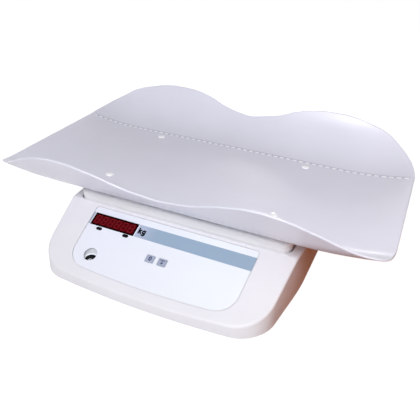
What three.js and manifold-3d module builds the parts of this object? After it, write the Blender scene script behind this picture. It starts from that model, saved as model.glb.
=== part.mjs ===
// Digital baby weighing scale, built as an assembly.
// Millimetres, +Z up, +X along the tray, the display panel faces -Y.
// The working origin is the middle of the weighing platform at floor level.
// The finished group is moved so that its own origin is the middle of its footprint.
import * as THREE from 'three';
import { mergeVertices } from 'three/addons/utils/BufferGeometryUtils.js';
import Module from 'manifold-3d';

const wasm = await Module();
wasm.setup();

// Clearances shared by the whole assembly
const seatGap = 0.3;
const slidingGap = 0.35;
const boltGap = 0.4;
const cutOverrun = 2;
const weldDistance = 1e-5;

// Tray: one sheet, flat in the middle, with a front and a back flange cut in a wave
const trayLength = 540;
const trayThickness = 3;
const trayFloorTop = 97;
const trayFloorFront = 97;
const trayFloorBack = 85;
const frontBendRadius = 59;
const frontBendAngle = THREE.MathUtils.degToRad(60);
const backBendRadius = 96;
const backBendAngle = THREE.MathUtils.degToRad(62);
const frontRimReach = 198;
const backRimReach = 192;
const trayEndRise = 10.3;
const trayRiseStart = 170;
const trayColumns = 38;
const frontFlangeRows = 7;
const floorRows = 2;
const backFlangeRows = 7;
// Rim reach from the middle of the tray to its end, at even steps of a quarter turn
const frontRimShares = [0.805, 0.835, 0.935, 0.985, 0.967, 0.898, 0.805, 0.735, 0.64, 0.575, 0.472];
const backRimShares = [0.85, 0.89, 0.972, 1, 0.995, 0.976, 0.908, 0.797, 0.703, 0.573, 0.465];

// Tray screws and the spacers that hold the tray off the platform
const trayScrewInsetX = 33;
const trayScrewInsetY = 28.4;
const trayScrewRadius = 2.5;
const trayScrewHeadRadius = 5.6;
const trayScrewHeadHeight = 3.4;
const trayScrewLength = 31;
const spacerRadius = 11;
const spacerWaist = 8.5;
const spacerHeight = 13.4;

// Weighing platform: a moulded cover over a steel frame
const coverHalfX = 154;
const coverHalfY = 102.4;
const coverTop = 80;
const coverSkirtDepth = 22;
const coverThickness = 2.5;
const coverCornerRadius = 12;
const coverEdgeRadius = 3;
const coverBossRadius = 7.5;
const coverRibThickness = 2;
const coverRibDepth = 5;
const frameTop = 71;
const frameThickness = 3;
const frameBarWidth = 24;
const frameBeamWidth = 56;
const frameFlangeDepth = 7;
const frameSlotLength = 46;
const frameSlotWidth = 16;
const frameNutRadius = 4.6;
const frameNutHeight = 4;
const platformTravel = 0.5;

// Single-point load cell with its pedestal, top spacer, bolts and overload stops
const cellLength = 130;
const cellWidth = 30;
const cellHeight = 22;
const cellHoleRadius = 8.6;
const cellHoleSpread = 15;
const cellSlotHeight = 6;
const topSpacerHeight = 8;
const cellBlockLength = 30;
const cellBoltRadius = 3;
const cellBoltHeadRadius = 5;
const cellBoltHeadHeight = 3;
const cellBoltInset = 8;
const cellBoltPitch = 14;
const cellBoltGrip = 12;
const stopRadius = 5;
const stopPostRadius = 3;
const stopY = 40;

// Base plate: zinc-plated sheet with welded nuts for the feet
const plateTop = 10;
const plateThickness = 2;
const plateNutRadius = 7;
const plateNutHeight = 10;
const standoffRadius = 3.4;
const standoffHeight = 6;
const stiffenerWidth = 3;
const stiffenerHeight = 3;

// Housing: a moulded shell with a sloping front panel and a well for the platform
const housingSideReach = 13.7;
const housingRearReach = 12.8;
const housingFrontReach = 109.3;
const housingShoulderInset = 19.2;
const housingNoseTaper = 13.5;
const housingBowDepth = 13;
const housingRearRadius = 26;
const housingNoseRadius = 48;
const housingShoulderRadius = 400;
const housingBowShare = 0.66;
const housingBottom = 6;
const housingRim = 66.6;
const housingDraft = 1.2;
const housingEdgeRadius = 3;
const housingWall = 3;
const panelAngle = THREE.MathUtils.degToRad(24.6);
const wellGap = 1.8;
const deckTop = 50;
const deckWidth = 23;
const drainLipHeight = 5;
const drainLipWidth = 2.4;

// Front panel, measured from the top edge of the slope: x across, v down the slope
const overlayThickness = 0.5;
const overlayTopInset = 5.7;
const overlayHalfX = 119.5;
const overlayNoseHalfX = 115.5;
const overlayNoseV = 94.5;
const overlayBowV = 102.5;
const overlayTopRadius = 4;
const overlayNoseRadius = 28;
const overlayBowRadius = 1200;
const windowX = -81.3;
const windowV = 24.6;
const windowWidth = 67.8;
const windowHeight = 19;
const windowFlange = 3;
const windowFlangeThickness = 1.5;
const windowRecess = 0.1;
const moduleWidth = 65;
const moduleHeight = 17;
const boardDepth = 12.3;
const boardThickness = 1.6;
const boardLeft = -114;
const boardRight = 30;
const boardTopV = 12;
const boardBottomV = 46;
const boardTabHalfX = 24;
const boardTabV = 72;
const boardScrewInset = 4.6;
const boardBossRadius = 3.6;
const boardScrewRadius = 1.25;
const boardScrewHeadRadius = 2.8;
const boardScrewHeadHeight = 1.6;
const boardScrewLength = 8;
const keysX = -0.3;
const keyPitch = 17.2;
const keyV = 57.8;
const keyWidth = 11.8;
const keyHeight = 10.4;
const keyProud = 0.4;
const keyFlange = 1.5;
const keyFlangeThickness = 1;
const keyStemRadius = 2;
const keyStemLength = 2.1;
const keyTravel = 0.5;
const switchWidth = 6;
const switchHeight = 3.6;
const switchPlungerRadius = 1.7;

// Spirit level: a round vial at the bottom of a tube under the panel
const levelInset = 67;
const levelY = -173.5;
const levelHoleRadius = 9.2;
const levelTop = 26.7;
const levelRadius = 10.2;
const levelHeight = 10;
const levelTubeWall = 2.6;
const levelLensRadius = 6.4;
const levelLensDepth = 3;
const levelLensCrown = 1.2;

// Main board
const mainBoardInset = 24.8;
const mainBoardGap = 10;
const mainBoardFront = -150;
const mainBoardBack = -94;
const mainScrewInset = 5;
const chipHeight = 3;
const capacitorRadius = 6;
const capacitorHeight = 14;
const plugWidth = 9;
const plugDepth = 6;
const plugHeight = 7;

// Power inlet and rocker switch in the rear wall
const powerZ = 30;
const inletInset = 50.8;
const inletRadius = 5.6;
const inletFlangeRadius = 8;
const inletFlangeThickness = 1.6;
const inletLength = 14;
const inletSocketRadius = 3.2;
const inletSocketDepth = 9.5;
const inletPinRadius = 1;
const rockerPitch = 38;
const switchBodyHalfX = 6.6;
const switchBodyHalfZ = 9.6;
const switchBodyDepth = 14;
const bezelWidth = 1.6;
const bezelThickness = 1.8;
const rockerHalfX = 5.2;
const rockerHalfZ = 8;
const rockerLip = 1.5;
const rockerDish = 1.2;
const rockerDepth = 5;
const rockerHeelHalfZ = 6.6;
const rockerToeHalfZ = 2;
const rockerTilt = THREE.MathUtils.degToRad(10);
const powerWallGap = 0.5;

// Levelling feet
const footInsetX = 28;
const frontFootInset = 35.5;
const rearFootInset = 33;
const footPadRadius = 16;
const footPadHeight = 4.2;
const footSoleInset = 1.2;
const footWheelRadius = 13;
const footWheelHeight = 3.1;
const footStemRadius = 4;
const footStemTop = 26;
const footBallRadius = 2.6;
const footBallDepth = 2.8;

// Screws that close the housing
const noseScrewInsetX = 24;
const noseScrewInsetY = 18.5;
const deckScrewInset = 9;
const caseBossRadius = 4.6;
const caseScrewRadius = 1.75;
const caseScrewHeadRadius = 3.6;
const caseScrewHeadHeight = 1.8;
const caseScrewLength = 12;

// Cables inside the housing
const cableRadius = 2;
const thinCableRadius = 1.6;
const cableSides = 8;

// Facets
const fastenerSides = 8;
const roundSides = 18;
const cornerSteps = 4;
const levelSides = 28;

// Heights and places that follow from the values above
const panelSlope = Math.tan(panelAngle);
const wellHalfX = coverHalfX + wellGap;
const wellHalfY = coverHalfY + wellGap;
const housingHalfX = wellHalfX + housingSideReach;
const housingNoseHalfX = housingHalfX - housingNoseTaper;
const housingFrontY = -wellHalfY - housingFrontReach;
const housingNoseY = housingFrontY + housingBowDepth;
const housingBowSide = Math.hypot(housingNoseHalfX, housingBowDepth);
const housingBowRadius = housingBowShare * housingBowSide * housingNoseHalfX / housingBowDepth;
const housingShoulderY = housingShoulderInset - wellHalfY;
const housingRearY = wellHalfY + housingRearReach;
const trayScrewX = coverHalfX - trayScrewInsetX;
const trayScrewY = coverHalfY - trayScrewInsetY;
const footX = housingNoseHalfX - footInsetX;
const frontFootY = housingNoseY + frontFootInset;
const rearFootY = housingRearY - rearFootInset;
const levelX = levelInset - housingNoseHalfX;
const wellRadius = coverCornerRadius + wellGap;
const travelGap = platformTravel + seatGap;
const keyGap = keyTravel + seatGap;
const frameBottom = frameTop - frameThickness;
const topSpacerTop = frameBottom - seatGap;
const cellTop = topSpacerTop - topSpacerHeight - travelGap;
const cellBottom = cellTop - cellHeight;
const pedestalBottom = plateTop + seatGap;
const pedestalTop = cellBottom - seatGap;
const plateBottom = plateTop - plateThickness;
const trayBottom = trayFloorTop - trayThickness;
const cellBoltXs = [
  cellLength / 2 - cellBoltInset,
  cellLength / 2 - cellBoltInset - cellBoltPitch,
];
const footPlaces = {
  front_left: [-footX, frontFootY],
  front_right: [footX, frontFootY],
  rear_left: [-footX, rearFootY],
  rear_right: [footX, rearFootY],
};
const trayScrewPlaces = {
  front_left: [-trayScrewX, -trayScrewY],
  front_right: [trayScrewX, -trayScrewY],
  rear_left: [-trayScrewX, trayScrewY],
  rear_right: [trayScrewX, trayScrewY],
};
const noseScrewX = housingNoseHalfX - noseScrewInsetX;
const noseScrewY = housingNoseY + noseScrewInsetY;
const deckScrewX = wellHalfX - deckScrewInset;
const deckScrewY = wellHalfY - deckScrewInset;
const inletX = deckScrewX - inletInset;
const rockerX = inletX - rockerPitch;
const caseScrewPlaces = [-1, 1].flatMap((side) => [
  [side * noseScrewX, noseScrewY],
  [side * deckScrewX, -deckScrewY],
  [side * deckScrewX, deckScrewY],
]);
const mainBoardRight = deckScrewX - mainBoardInset;
const mainBoardLeft = boardRight + mainBoardGap;
const keyPlaces = { zero_key: keysX - keyPitch / 2, tare_key: keysX + keyPitch / 2 };
const boardScrewPlaces = [
  [boardLeft + boardScrewInset, boardBottomV - boardScrewInset],
  [boardRight - boardScrewInset, boardTopV + boardScrewInset],
];
const mainScrewPlaces = [
  [mainBoardLeft + mainScrewInset, mainBoardBack - mainScrewInset],
  [mainBoardRight - mainScrewInset, mainBoardFront + mainScrewInset],
];
const mainBoardBottom = plateTop + standoffHeight + seatGap;
const mainBoardTop = mainBoardBottom + boardThickness;

// Finishes
function finish(colour, roughness, metalness = 0) {
  return new THREE.MeshStandardMaterial({ color: colour, roughness, metalness });
}
const finishes = {
  tray: finish(0xe6e4ee, 0.35),
  housing: finish(0xecebe9, 0.42),
  overlay: finish(0xe4e8f4, 0.3),
  window: finish(0x3a0608, 0.12),
  module: finish(0x1b1416, 0.4),
  board: finish(0x1f5a36, 0.5),
  key: finish(0x9aa2ad, 0.45),
  blackPlastic: finish(0x17171a, 0.4),
  lens: finish(0xc9d6c8, 0.08),
  whiteScrew: finish(0xf2f1f4, 0.35),
  steel: finish(0xa9abae, 0.35, 0.9),
  aluminium: finish(0xc3c5c8, 0.4, 0.85),
  zinc: finish(0xb2b4b1, 0.45, 0.8),
  rubber: finish(0x2a2a2c, 0.8),
  cable: finish(0x303236, 0.55),
};

// Solids: join and cut closed meshes
function toSolid(geometry) {
  const bare = new THREE.BufferGeometry();
  bare.setAttribute('position', geometry.getAttribute('position'));
  bare.setIndex(geometry.getIndex());
  const merged = mergeVertices(bare, weldDistance);
  const mesh = new wasm.Mesh({
    numProp: 3,
    vertProperties: new Float32Array(merged.getAttribute('position').array),
    triVerts: new Uint32Array(merged.getIndex().array),
  });
  return new wasm.Manifold(mesh);
}

function toGeometry(solid) {
  const mesh = solid.getMesh();
  const geometry = new THREE.BufferGeometry();
  geometry.setAttribute('position', new THREE.BufferAttribute(new Float32Array(mesh.vertProperties), 3));
  geometry.setIndex(new THREE.BufferAttribute(new Uint32Array(mesh.triVerts), 1));
  return geometry;
}

function join(...geometries) {
  return toGeometry(geometries.map(toSolid).reduce((whole, piece) => whole.add(piece)));
}

function cut(geometry, ...tools) {
  return toGeometry(tools.map(toSolid).reduce((rest, tool) => rest.subtract(tool), toSolid(geometry)));
}

function common(first, second) {
  return toGeometry(toSolid(first).intersect(toSolid(second)));
}

// Plain shapes, placed by their own limits
function block(xs, ys, zs) {
  const geometry = new THREE.BoxGeometry(xs[1] - xs[0], ys[1] - ys[0], zs[1] - zs[0]);
  return geometry.translate((xs[0] + xs[1]) / 2, (ys[0] + ys[1]) / 2, (zs[0] + zs[1]) / 2);
}

function rod(radius, zs, sides = fastenerSides, x = 0, y = 0) {
  const geometry = new THREE.CylinderGeometry(radius, radius, zs[1] - zs[0], sides);
  return geometry.rotateX(Math.PI / 2).translate(x, y, (zs[0] + zs[1]) / 2);
}

function crossRod(radius, ys, sides, x, z) {
  const geometry = new THREE.CylinderGeometry(radius, radius, ys[1] - ys[0], sides);
  return geometry.translate(x, (ys[0] + ys[1]) / 2, z);
}

function turned(profile, sides = roundSides) {
  const points = profile.map(([radius, height]) => new THREE.Vector2(radius, height));
  return new THREE.LatheGeometry(points, sides).rotateX(Math.PI / 2);
}

function plate(outline, zs, holes = []) {
  const shape = new THREE.Shape(outline.map(([x, y]) => new THREE.Vector2(x, y)));
  const geometry = new THREE.ExtrudeGeometry(shape, { depth: zs[1] - zs[0], bevelEnabled: false });
  geometry.translate(0, 0, zs[0]);
  return holes.length > 0 ? cut(geometry, ...holes) : geometry;
}

// Rounded outlines: each corner is an arc, and an inset keeps the arc's centre
function cornerArc(before, corner, after, radius) {
  const here = new THREE.Vector2(...corner);
  const back = new THREE.Vector2(...before).sub(here).normalize();
  const ahead = new THREE.Vector2(...after).sub(here).normalize();
  const half = Math.acos(THREE.MathUtils.clamp(back.dot(ahead), -1, 1)) / 2;
  const centre = back.clone().add(ahead).normalize().multiplyScalar(radius / Math.sin(half)).add(here);
  const start = back.multiplyScalar(radius / Math.tan(half)).add(here).sub(centre);
  const end = ahead.multiplyScalar(radius / Math.tan(half)).add(here).sub(centre);
  let sweep = end.angle() - start.angle();
  if (sweep < -Math.PI) sweep += 2 * Math.PI;
  if (sweep > Math.PI) sweep -= 2 * Math.PI;
  return { centre, radius, start: start.angle(), sweep };
}

function arcPoints(arc, inset, steps) {
  const points = [];
  for (let step = 0; step <= steps; step += 1) {
    const angle = arc.start + (arc.sweep * step) / steps;
    points.push([
      arc.centre.x + (arc.radius - inset) * Math.cos(angle),
      arc.centre.y + (arc.radius - inset) * Math.sin(angle),
    ]);
  }
  return points;
}

function roundedRectangle(halfX, halfY, radius, inset = 0, steps = cornerSteps) {
  const corners = [[halfX, -halfY], [halfX, halfY], [-halfX, halfY], [-halfX, -halfY]];
  return corners.flatMap((corner, index) => arcPoints(
    cornerArc(corners[(index + 3) % 4], corner, corners[(index + 1) % 4], radius),
    inset,
    steps,
  ));
}

// A closed skin over rings of equal length, with a fan or ladder over each end
function skin(rings) {
  const count = rings[0].length;
  const positions = rings.flat(2);
  const indices = [];
  for (let ring = 0; ring + 1 < rings.length; ring += 1) {
    for (let side = 0; side < count; side += 1) {
      const next = (side + 1) % count;
      const low = ring * count;
      const high = low + count;
      indices.push(low + side, low + next, high + next, low + side, high + next, high + side);
    }
  }
  const last = (rings.length - 1) * count;
  for (let rung = 0; rung < count / 2 - 1; rung += 1) {
    const near = rung;
    const far = count - 1 - rung;
    indices.push(near, far, far - 1, near, far - 1, near + 1);
    indices.push(last + near, last + near + 1, last + far - 1, last + near, last + far - 1, last + far);
  }
  const geometry = new THREE.BufferGeometry();
  geometry.setAttribute('position', new THREE.Float32BufferAttribute(positions, 3));
  geometry.setIndex(indices);
  return geometry;
}

// Rounded top edge: how far each ring moves in and how far it lies under the top
function edgeSteps(radius, steps = 3) {
  return Array.from({ length: steps + 1 }, (_, step) => {
    const angle = (step / steps) * (Math.PI / 2);
    return { inset: radius * (1 - Math.cos(angle)), drop: radius * (1 - Math.sin(angle)) };
  });
}

// The tray
function rimShare(shares, turn) {
  const steps = shares.length - 1;
  const along = Math.abs(turn) * steps;
  const index = Math.min(Math.floor(along), steps - 1);
  const t = along - index;
  const slope = (knot) => {
    if (knot === 0) return 0;
    return knot === steps ? shares[knot] - shares[knot - 1] : (shares[knot + 1] - shares[knot - 1]) / 2;
  };
  return (2 * t ** 3 - 3 * t ** 2 + 1) * shares[index] + (t ** 3 - 2 * t ** 2 + t) * slope(index)
    + (3 * t ** 2 - 2 * t ** 3) * shares[index + 1] + (t ** 3 - t ** 2) * slope(index + 1);
}

function traySection(distance) {
  const back = distance > 0;
  const edge = back ? trayFloorBack : trayFloorFront;
  const radius = back ? backBendRadius : frontBendRadius;
  const bend = back ? backBendAngle : frontBendAngle;
  const past = Math.max(Math.abs(distance) - edge, 0);
  const angle = Math.min(past / radius, bend);
  const straight = Math.max(past - radius * bend, 0);
  const side = back ? 1 : -1;
  const flat = Math.min(Math.abs(distance), edge);
  return {
    y: side * (flat + radius * Math.sin(angle) + straight * Math.cos(angle)),
    z: radius * (1 - Math.cos(angle)) + straight * Math.sin(angle),
    tilt: side * angle,
  };
}

function endRise(x) {
  const share = Math.max(Math.abs(x) - trayRiseStart, 0) / (trayLength / 2 - trayRiseStart);
  const slope = (2 * trayEndRise * share) / (trayLength / 2 - trayRiseStart);
  return { rise: trayEndRise * share ** 2, slope: Math.sign(x) * slope };
}

function trayDistances(turn) {
  const front = frontRimReach * rimShare(frontRimShares, turn);
  const back = backRimReach * rimShare(backRimShares, turn);
  const frontBend = Math.min(trayFloorFront, front - trayThickness);
  const backBend = Math.min(trayFloorBack, back - trayThickness);
  const rows = [];
  for (let row = 0; row < frontFlangeRows; row += 1) {
    rows.push(-front + ((front - frontBend) * row) / frontFlangeRows);
  }
  for (let row = 0; row < floorRows; row += 1) {
    rows.push(-frontBend + ((backBend + frontBend) * row) / floorRows);
  }
  for (let row = 0; row <= backFlangeRows; row += 1) {
    rows.push(backBend + ((back - backBend) * row) / backFlangeRows);
  }
  return rows;
}

function traySheet() {
  const upper = [];
  const lower = [];
  for (let column = 0; column <= trayColumns; column += 1) {
    const turn = (2 * column) / trayColumns - 1;
    const x = (trayLength / 2) * Math.sin((turn * Math.PI) / 2);
    const { rise, slope } = endRise(x);
    trayDistances(turn).forEach((distance) => {
      const { y, z, tilt } = traySection(distance);
      const top = new THREE.Vector3(x, y, trayFloorTop + rise + z);
      const normal = new THREE.Vector3(-slope * Math.cos(tilt), -Math.sin(tilt), Math.cos(tilt));
      upper.push(top);
      lower.push(top.clone().addScaledVector(normal.normalize(), -trayThickness));
    });
  }
  const rows = frontFlangeRows + floorRows + backFlangeRows + 1;
  const points = [...upper, ...lower];
  const under = upper.length;
  const indices = [];
  const quad = (a, b, c, d) => indices.push(a, b, c, a, c, d);
  for (let column = 0; column < trayColumns; column += 1) {
    for (let row = 0; row + 1 < rows; row += 1) {
      const near = column * rows + row;
      const far = near + rows;
      quad(near, far, far + 1, near + 1);
      quad(under + near, under + near + 1, under + far + 1, under + far);
    }
    const front = column * rows;
    const back = front + rows - 1;
    quad(front, under + front, under + front + rows, front + rows);
    quad(back, back + rows, under + back + rows, under + back);
  }
  for (let row = 0; row + 1 < rows; row += 1) {
    const left = row;
    const right = trayColumns * rows + row;
    quad(left, left + 1, under + left + 1, under + left);
    quad(right, under + right, under + right + 1, right + 1);
  }
  const geometry = new THREE.BufferGeometry().setFromPoints(points);
  geometry.setIndex(indices);
  return geometry;
}

function trayGeometry() {
  const holes = Object.values(trayScrewPlaces).map(([x, y]) => rod(
    trayScrewRadius + boltGap,
    [trayBottom - cutOverrun, trayFloorTop + cutOverrun],
    fastenerSides,
    x,
    y,
  ));
  return cut(traySheet(), ...holes);
}

function trayScrewGeometry() {
  const seat = trayFloorTop + seatGap;
  const dome = edgeSteps(1, 4).map(({ inset, drop }) => [
    trayScrewHeadRadius * (1 - inset),
    seat + trayScrewHeadHeight * (1 - drop),
  ]);
  return turned([
    [0, seat - trayScrewLength],
    [trayScrewRadius, seat - trayScrewLength],
    [trayScrewRadius, seat],
    ...dome,
  ], roundSides / 2);
}

function spacerGeometry() {
  const low = coverTop + seatGap;
  const high = low + spacerHeight;
  const bore = trayScrewRadius + boltGap;
  const lip = (spacerRadius - spacerWaist) / 2;
  return turned([
    [bore, low],
    [spacerRadius, low],
    [spacerRadius, low + lip],
    [spacerWaist, low + 2 * lip],
    [spacerWaist, high - 2 * lip],
    [spacerRadius, high - lip],
    [spacerRadius, high],
    [bore, high],
    [bore, low],
  ], roundSides / 2);
}

// Platform
function ringAt(outline, z) {
  return outline.map(([x, y]) => [x, y, z]);
}

function coverGeometry() {
  const outline = (inset) => roundedRectangle(coverHalfX, coverHalfY, coverCornerRadius, inset);
  const bottom = coverTop - coverSkirtDepth;
  const ceiling = coverTop - coverThickness;
  const outer = skin([
    ringAt(outline(0), bottom),
    ...edgeSteps(coverEdgeRadius).map(({ inset, drop }) => ringAt(outline(inset), coverTop - drop)),
  ]);
  const inner = skin([
    ringAt(outline(coverThickness), bottom - cutOverrun),
    ringAt(outline(coverThickness), ceiling),
  ]);
  const ribTop = ceiling + coverThickness / 2;
  const ribBottom = ceiling - coverRibDepth;
  const ribX = coverHalfX - coverThickness / 2;
  const ribY = coverHalfY - coverThickness / 2;
  const ribs = [
    ...[-trayScrewY, trayScrewY].map((y) => block(
      [-ribX, ribX],
      [y - coverRibThickness / 2, y + coverRibThickness / 2],
      [ribBottom, ribTop],
    )),
    ...[-trayScrewX, trayScrewX].map((x) => block(
      [x - coverRibThickness / 2, x + coverRibThickness / 2],
      [-ribY, ribY],
      [ribBottom, ribTop],
    )),
  ];
  const places = Object.values(trayScrewPlaces);
  const bosses = places.map(([x, y]) => rod(coverBossRadius, [frameTop + seatGap, ribTop], fastenerSides, x, y));
  const holes = places.map(([x, y]) => rod(
    trayScrewRadius + boltGap,
    [frameTop, coverTop + cutOverrun],
    fastenerSides,
    x,
    y,
  ));
  return cut(join(cut(outer, inner), ...ribs, ...bosses), ...holes);
}

function frameGeometry() {
  const barEnd = trayScrewY + frameBarWidth / 2;
  const bars = [-trayScrewX, trayScrewX].map((x) => plate(
    roundedRectangle(frameBarWidth / 2, barEnd, frameBarWidth / 3).map(([px, py]) => [px + x, py]),
    [frameBottom, frameTop],
  ));
  const beamHalf = frameBeamWidth / 2;
  const beam = block([-trayScrewX, trayScrewX], [-beamHalf, beamHalf], [frameBottom, frameTop]);
  const flangeEnd = trayScrewX - frameBarWidth / 2;
  const flanges = [-1, 1].map((side) => block(
    [-flangeEnd, flangeEnd],
    side < 0 ? [-beamHalf, frameThickness - beamHalf] : [beamHalf - frameThickness, beamHalf],
    [frameBottom - frameFlangeDepth, frameBottom + frameThickness / 2],
  ));
  const places = Object.values(trayScrewPlaces);
  const nuts = places.map(([x, y]) => rod(
    frameNutRadius,
    [frameBottom - frameNutHeight, frameBottom + frameThickness / 2],
    6,
    x,
    y,
  ));
  const high = frameTop + cutOverrun;
  const screwHoles = places.map(([x, y]) => rod(
    trayScrewRadius + boltGap,
    [frameBottom - frameNutHeight - cutOverrun, high],
    fastenerSides,
    x,
    y,
  ));
  const boltHoles = cellBoltXs.map((x) => rod(
    cellBoltRadius + boltGap,
    [frameBottom - cutOverrun, high],
    fastenerSides,
    x,
    0,
  ));
  const slotX = trayScrewX - frameBarWidth - frameSlotLength / 2;
  const slots = [-slotX, 0].map((x) => plate(
    roundedRectangle(frameSlotLength / 2, frameSlotWidth / 2, frameSlotWidth / 3).map(([px, py]) => [px + x, py]),
    [frameBottom - cutOverrun, high],
  ));
  return cut(join(beam, ...bars, ...flanges, ...nuts), ...screwHoles, ...boltHoles, ...slots);
}

// Load cell stack
function loadCellGeometry() {
  const middle = (cellTop + cellBottom) / 2;
  const halfY = cellWidth / 2;
  const body = block([-cellLength / 2, cellLength / 2], [-halfY, halfY], [cellBottom, cellTop]);
  const through = [-halfY - cutOverrun, halfY + cutOverrun];
  const flexures = [-cellHoleSpread, cellHoleSpread].map((x) => crossRod(cellHoleRadius, through, roundSides, x, middle));
  const slot = block(
    [-cellHoleSpread, cellHoleSpread],
    through,
    [middle - cellSlotHeight / 2, middle + cellSlotHeight / 2],
  );
  const bolts = cellBoltXs.flatMap((x) => [-x, x]).map((x) => rod(
    cellBoltRadius + boltGap,
    [cellBottom - cutOverrun, cellTop + cutOverrun],
    fastenerSides,
    x,
    0,
  ));
  return cut(body, ...flexures, slot, ...bolts);
}

function cellBlock(side, zs) {
  const inner = cellLength / 2 - cellBlockLength;
  const xs = side < 0 ? [-cellLength / 2, -inner] : [inner, cellLength / 2];
  const holes = cellBoltXs.map((x) => rod(
    cellBoltRadius + boltGap,
    [zs[0] - cutOverrun, zs[1] + cutOverrun],
    fastenerSides,
    side * x,
    0,
  ));
  return cut(block(xs, [-cellWidth / 2, cellWidth / 2], zs), ...holes);
}

function boltGeometry(headLow, headHigh, tip) {
  const up = tip > headHigh;
  const neck = up ? headHigh : headLow;
  const crown = up ? headLow : headHigh;
  const profile = [[0, tip], [cellBoltRadius, tip], [cellBoltRadius, neck], [cellBoltHeadRadius, neck]];
  profile.push([cellBoltHeadRadius, crown], [0, crown]);
  return turned(up ? profile.reverse() : profile, fastenerSides);
}

function stopGeometry() {
  const top = frameBottom - travelGap;
  const low = plateTop + seatGap;
  const nut = low + 2 * stopRadius;
  return turned([
    [0, low],
    [stopRadius, low],
    [stopRadius, nut],
    [stopPostRadius, nut],
    [stopPostRadius, top - stopRadius],
    [stopRadius, top - stopRadius],
    [stopRadius, top],
    [0, top],
  ], 6);
}

// Housing outline: half of it, from the middle of the front to the middle of the rear
function housingHalf(inset) {
  const nose = [housingNoseHalfX, housingNoseY];
  const shoulder = [housingHalfX, housingShoulderY];
  const rear = [housingHalfX, housingRearY];
  const front = [0, housingFrontY];
  const mirrored = [-housingNoseHalfX, housingNoseY];
  const bow = cornerArc(mirrored, front, nose, housingBowRadius);
  const points = arcPoints(bow, inset, 6).slice(3);
  points.push(...arcPoints(cornerArc(front, nose, shoulder, housingNoseRadius), inset, 7));
  const side = arcPoints(cornerArc(nose, shoulder, rear, housingShoulderRadius), inset, 2);
  side.push([housingHalfX - inset, (housingShoulderY + housingRearY) / 2]);
  const crease = side.findIndex(([, y]) => y > -wellHalfY);
  const below = crease > 0 ? side[crease - 1] : points[points.length - 1];
  const above = side[crease];
  const along = (-wellHalfY - below[1]) / (above[1] - below[1]);
  side.splice(crease, 0, [below[0] + (above[0] - below[0]) * along, -wellHalfY]);
  points.push(...side);
  points.push(...arcPoints(
    cornerArc(shoulder, rear, [-housingHalfX, housingRearY], housingRearRadius),
    inset,
    cornerSteps,
  ));
  return points;
}

function housingOutline(inset) {
  const half = housingHalf(inset);
  const mirror = half.slice(1).reverse().map(([x, y]) => [-x, y]);
  const nose = half[0];
  const step = half[1][0] / 3;
  return [[nose[0] + step, nose[1]], ...half.slice(1), ...mirror, [nose[0] - step, nose[1]]];
}

function panelHeight(y, depth) {
  const slope = housingRim + (y + wellHalfY) * panelSlope - depth / Math.cos(panelAngle);
  return Math.min(slope, housingRim - depth);
}

function housingBody(inset, bottom, depth, radius) {
  const under = (outline, drop) => outline.map(([x, y]) => [x, y, panelHeight(y, depth) - drop]);
  const rings = [ringAt(housingOutline(inset), bottom)];
  edgeSteps(radius).forEach((edge) => {
    rings.push(under(housingOutline(inset + housingDraft + edge.inset), edge.drop));
  });
  return skin(rings);
}

// The panel's own frame: x across, y up the slope, z out of the panel
const panelMatrix = new THREE.Matrix4()
  .makeRotationX(panelAngle)
  .setPosition(0, -wellHalfY, housingRim);

function onPanel(geometry) {
  return geometry.applyMatrix4(panelMatrix);
}

function panelBlock(x, v, width, height, ws) {
  return block([x - width / 2, x + width / 2], [-v - height / 2, height / 2 - v], ws);
}

function overlayOutline(inset) {
  const top = -overlayTopInset;
  const corners = [
    [overlayHalfX, top, overlayTopRadius],
    [-overlayHalfX, top, overlayTopRadius],
    [-overlayNoseHalfX, -overlayNoseV, overlayNoseRadius],
    [0, -overlayBowV, overlayBowRadius],
    [overlayNoseHalfX, -overlayNoseV, overlayNoseRadius],
  ];
  return corners.flatMap(([x, y, radius], index) => {
    const before = corners[(index + corners.length - 1) % corners.length];
    const after = corners[(index + 1) % corners.length];
    return arcPoints(cornerArc(before.slice(0, 2), [x, y], after.slice(0, 2), radius), inset, cornerSteps);
  });
}

function levelTube(radius, zs) {
  return rod(radius, zs, levelSides, levelX, levelY);
}

function levelHole(radius, ws) {
  const place = new THREE.Vector3(0, levelY + wellHalfY, 0);
  const v = -place.y / Math.cos(panelAngle);
  return rod(radius, ws, levelSides, levelX, -v);
}

function rearWallY(z) {
  const share = (z - housingBottom) / (housingRim - housingEdgeRadius - housingBottom);
  return housingRearY - housingDraft * share;
}

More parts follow.
